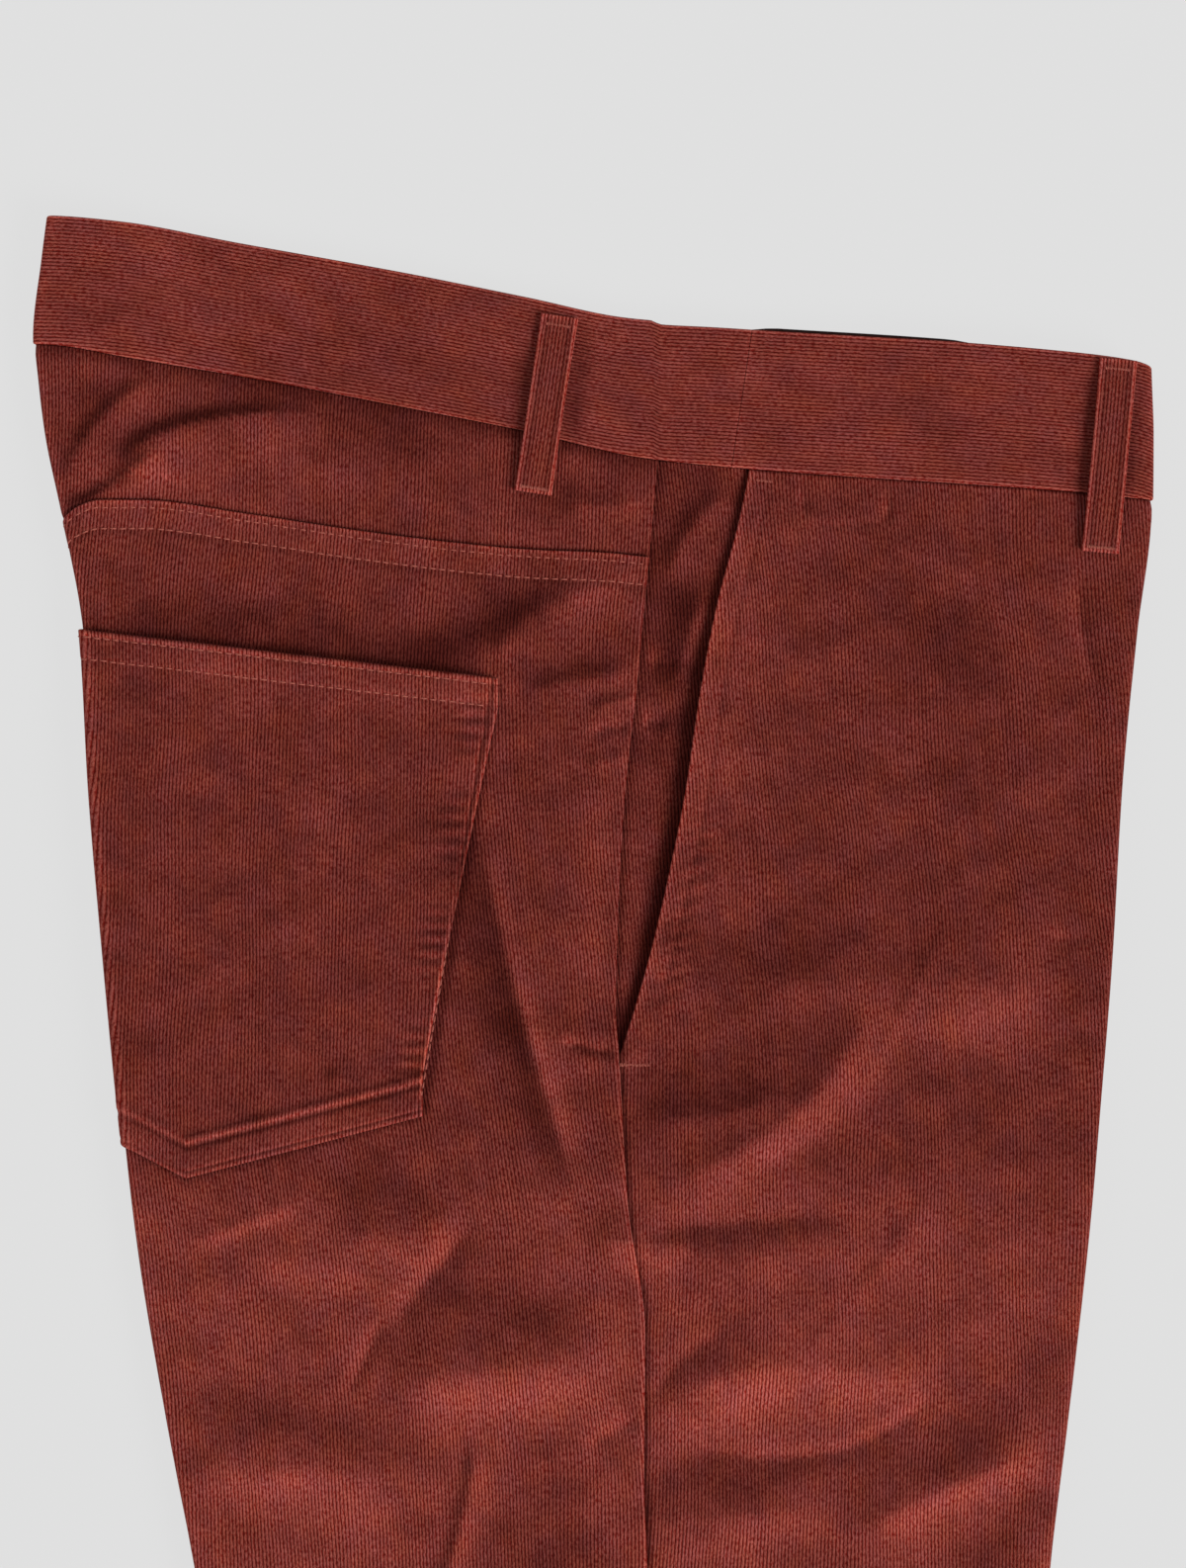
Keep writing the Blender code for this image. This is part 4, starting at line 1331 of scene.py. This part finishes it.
def twisted_polyester_thread(cloth):
    """Spun polyester thread, twisted: fine slanted plies with a dull shine."""
    return slanted(
        "twisted_polyester_thread", cloth.thread, painted_shade=0.7, pitch_mm=0.5, waver=1.0,
        depth_mm=0.05, constants={"Roughness": 0.6, "Specular IOR Level": 0.3},
    )


def woven_cotton_twill(cloth):
    """Dark cotton twill, woven: fine slanting lines that only just show."""
    return slanted(
        "woven_cotton_twill", cloth.facing, painted_shade=0.6, pitch_mm=0.9, waver=0.6,
        depth_mm=0.1, constants={"Roughness": 0.85, "Specular IOR Level": 0.2},
    )


def matt_coated_paper(stage):
    """Seamless background paper, coated matt and lit from below: an even pale ground, with no
    grain that shows and only faint shadows."""
    made, tree, shader = new_material("matt_coated_paper", {
        "Base Color": (*stage.paper, 1.0), "Emission Color": (1.0, 1.0, 1.0, 1.0),
        "Emission Strength": stage.paper_glow, "Roughness": 0.95, "Specular IOR Level": 0.1,
    })
    fibres = add_node(tree, "ShaderNodeTexNoise", {"Scale": 900.0, "Detail": 2.0})
    bump = add_node(tree, "ShaderNodeBump", {
        "Height": fibres.outputs["Fac"], "Distance": 0.02 * MM, "Strength": 0.2,
    })
    tree.links.new(bump.outputs["Normal"], shader.inputs["Normal"])
    return made


def finished(make, settings):
    """The material that this function makes and names, made once."""
    return bpy.data.materials.get(make.__name__) or make(settings)


def colour_property(name, description, hex_colour):
    return FloatVectorProperty(
        name=name, description=description, subtype="COLOR", size=3, min=0.0, max=1.0,
        default=linear(hex_colour),
    )


class ClothSettings(PropertyGroup):
    """The needlecord's sizes and colours"""

    # The real ribs are 1.05 mm apart, and are drawn a little wider so that they show
    wale_pitch: FloatProperty(
        name="Wale pitch", description="Distance from rib to rib", default=1.1 * MM,
        unit="LENGTH", precision=5,
    )
    wale_depth: FloatProperty(
        name="Wale depth", description="Depth of the grooves between the ribs",
        default=0.42 * MM, unit="LENGTH", precision=5,
    )
    # Shaded and lit copies of the pile's colours, for painted light and shade; the grooves' colours
    # are painted shade between the ribs
    groove_shade: colour_property("Shaded grooves", "Between ribs that lean away", "#310504")
    groove_lit: colour_property("Lit grooves", "Between ribs that catch the light", "#8B1C12")
    tip_shade: colour_property("Shaded pile", "Pile that leans away", "#531C16")
    tip_lit: colour_property("Lit pile", "Pile that leans to the light", "#C4685E")
    warm_tint: colour_property("Warm tint", "Tints patches of the pile", "#FFF6DC")
    cool_tint: colour_property("Cool tint", "Tints the other patches", "#F2F2FF")
    sheen: colour_property("Sheen", "The soft light at the edges", "#C0503F")
    thread: colour_property("Thread", "Sewing thread", "#AE5B4C")
    # the band's inner facing; where it shows between the bands, its darkness also stands for the
    # shade there
    facing: colour_property("Band facing", "The waistband's inner facing", "#3A1F1A")


class StageSettings(PropertyGroup):
    """The studio's colours and lights"""

    paper: colour_property("Paper", "The floor", "#333333")
    paper_glow: FloatProperty(name="Paper glow", description="Light through the floor", default=0.711)
    key: FloatProperty(name="Key light", description="Strength of the main light", default=3.1)
    fill: FloatProperty(name="Fill light", description="Strength of the second light", default=0.55)
    room: FloatProperty(name="Room light", description="Light from all sides", default=0.33)


class PieceOperator:
    """What the operators that make pieces of both legs share."""

    bl_options = {"REGISTER", "UNDO"}
    finishes = (brushed_cotton_needlecord,)

    def execute(self, context):
        cloth = context.scene.trousers_cloth
        for leg in LEGS:
            for make in self.makes:
                make(leg, *(finished(finish, cloth) for finish in self.finishes))
        return {"FINISHED"}


class TROUSERS_OT_front_panels(PieceOperator, Operator):
    """Make the front panels, with the slant pockets' mouths"""

    bl_idname = "trousers.front_panels"
    bl_label = "Front panels"
    makes = (front_panel,)


class TROUSERS_OT_back_panels(PieceOperator, Operator):
    """Make the back panels, rolled over the yokes"""

    bl_idname = "trousers.back_panels"
    bl_label = "Back panels"
    makes = (back_panel,)


class TROUSERS_OT_back_yokes(PieceOperator, Operator):
    """Make the back yokes"""

    bl_idname = "trousers.back_yokes"
    bl_label = "Back yokes"
    makes = (back_yoke,)


class TROUSERS_OT_pocket_facings(PieceOperator, Operator):
    """Make the facings that show in the slant pockets' mouths"""

    bl_idname = "trousers.pocket_facings"
    bl_label = "Pocket facings"
    makes = (pocket_facing,)


class TROUSERS_OT_back_pockets(PieceOperator, Operator):
    """Make the back patch pockets"""

    bl_idname = "trousers.back_pockets"
    bl_label = "Back pockets"
    makes = (back_pocket,)


class TROUSERS_OT_waistbands(PieceOperator, Operator):
    """Make the waistband's pieces and their inner facings"""

    bl_idname = "trousers.waistbands"
    bl_label = "Waistbands"
    makes = (waistband,)
    finishes = (brushed_cotton_needlecord, woven_cotton_twill)


class TROUSERS_OT_belt_loops(PieceOperator, Operator):
    """Make the belt loops"""

    bl_idname = "trousers.belt_loops"
    bl_label = "Belt loops"
    makes = (belt_loops,)


class TROUSERS_OT_stitching(PieceOperator, Operator):
    """Sew the stitches and tacks that show"""

    bl_idname = "trousers.stitching"
    bl_label = "Stitching"
    makes = (yoke_stitches, pocket_stitches, tacks)
    finishes = (twisted_polyester_thread,)


class TROUSERS_OT_stage(Operator):
    """Lay the floor, light it and aim the camera straight down"""

    bl_idname = "trousers.stage"
    bl_label = "Stage"
    bl_options = {"REGISTER", "UNDO"}

    def execute(self, context):
        stage = context.scene.trousers_stage
        lay_floor(stage)
        light_stage(context.scene, stage)
        aim_camera(context.scene)
        return {"FINISHED"}


def lay_floor(stage):
    half = 5.0
    drop = 0.2 * MM
    corners = np.array([(-half, -half), (half, -half), (half, half), (-half, half)])
    points = np.column_stack([corners, np.full(4, -drop)])
    floor = mesh_object("floor", (points, np.array([[0, 1, 2, 3]])), (), matt_coated_paper(stage))


def light_stage(scene, stage):
    """Two wide soft lights from both sides, and light from all round."""
    for name, strength, across_deg, tilt_deg, spread_deg in (
        ("key_light", stage.key, -35.0, 57.0, 28.0),
        ("fill_light", stage.fill, 140.0, 50.0, 50.0),
    ):
        lamp = bpy.data.lights.new(name, "SUN")
        lamp.energy = strength
        lamp.angle = math.radians(spread_deg)
        holder = bpy.data.objects.new(name, lamp)
        holder.rotation_euler = (0.0, math.radians(tilt_deg), math.radians(across_deg))
        scene.collection.objects.link(holder)
    world = bpy.data.worlds.new("studio_room")
    world.use_nodes = True
    room = world.node_tree.nodes["Background"]
    room.inputs["Color"].default_value = (1.0, 1.0, 1.0, 1.0)
    room.inputs["Strength"].default_value = stage.room
    scene.world = world
    scene.view_settings.view_transform = "Standard"


def aim_camera(scene):
    """Straight down over the photo's centre, 85 mm on a 36 mm tall frame."""
    frame_height = 480.6
    centre_u, centre_v = -18.8, 141.2
    cloth_height = 10.0
    lens_mm = 85.0
    sensor_mm = 36.0
    lens = bpy.data.cameras.new("camera")
    lens.sensor_fit = "VERTICAL"
    lens.sensor_height = sensor_mm
    lens.lens = lens_mm
    lens.clip_end = 50.0
    camera = bpy.data.objects.new("camera", lens)
    distance = frame_height / sensor_mm * lens_mm
    camera.location = (
        (centre_u - PLAN_CENTRE_U) * MM,
        (PLAN_CENTRE_V - centre_v) * MM,
        (cloth_height + distance) * MM,
    )
    scene.collection.objects.link(camera)
    scene.camera = camera


class TROUSERS_PT_panel(Panel):
    """The trousers' pieces and settings"""

    bl_idname = "TROUSERS_PT_panel"
    bl_label = "Needlecord trousers"
    bl_space_type = "VIEW_3D"
    bl_region_type = "UI"
    bl_category = "Trousers"

    def draw(self, context):
        layout = self.layout
        for settings in (context.scene.trousers_cloth, context.scene.trousers_stage):
            box = layout.box()
            for name in settings.__annotations__:
                box.prop(settings, name)
        for operator in OPERATORS:
            layout.operator(operator.bl_idname)


OPERATORS = (
    TROUSERS_OT_stage,
    TROUSERS_OT_front_panels,
    TROUSERS_OT_back_panels,
    TROUSERS_OT_back_yokes,
    TROUSERS_OT_pocket_facings,
    TROUSERS_OT_back_pockets,
    TROUSERS_OT_waistbands,
    TROUSERS_OT_belt_loops,
    TROUSERS_OT_stitching,
)
CLASSES = (ClothSettings, StageSettings, *OPERATORS, TROUSERS_PT_panel)


def register():
    for cls in CLASSES:
        bpy.utils.register_class(cls)
    bpy.types.Scene.trousers_cloth = PointerProperty(type=ClothSettings)
    bpy.types.Scene.trousers_stage = PointerProperty(type=StageSettings)


def unregister():
    del bpy.types.Scene.trousers_cloth
    del bpy.types.Scene.trousers_stage
    for cls in reversed(CLASSES):
        bpy.utils.unregister_class(cls)


def main():
    register()
    for operator in OPERATORS:
        group, name = operator.bl_idname.split(".")
        getattr(getattr(bpy.ops, group), name)()


if __name__ == "__main__":
    main()
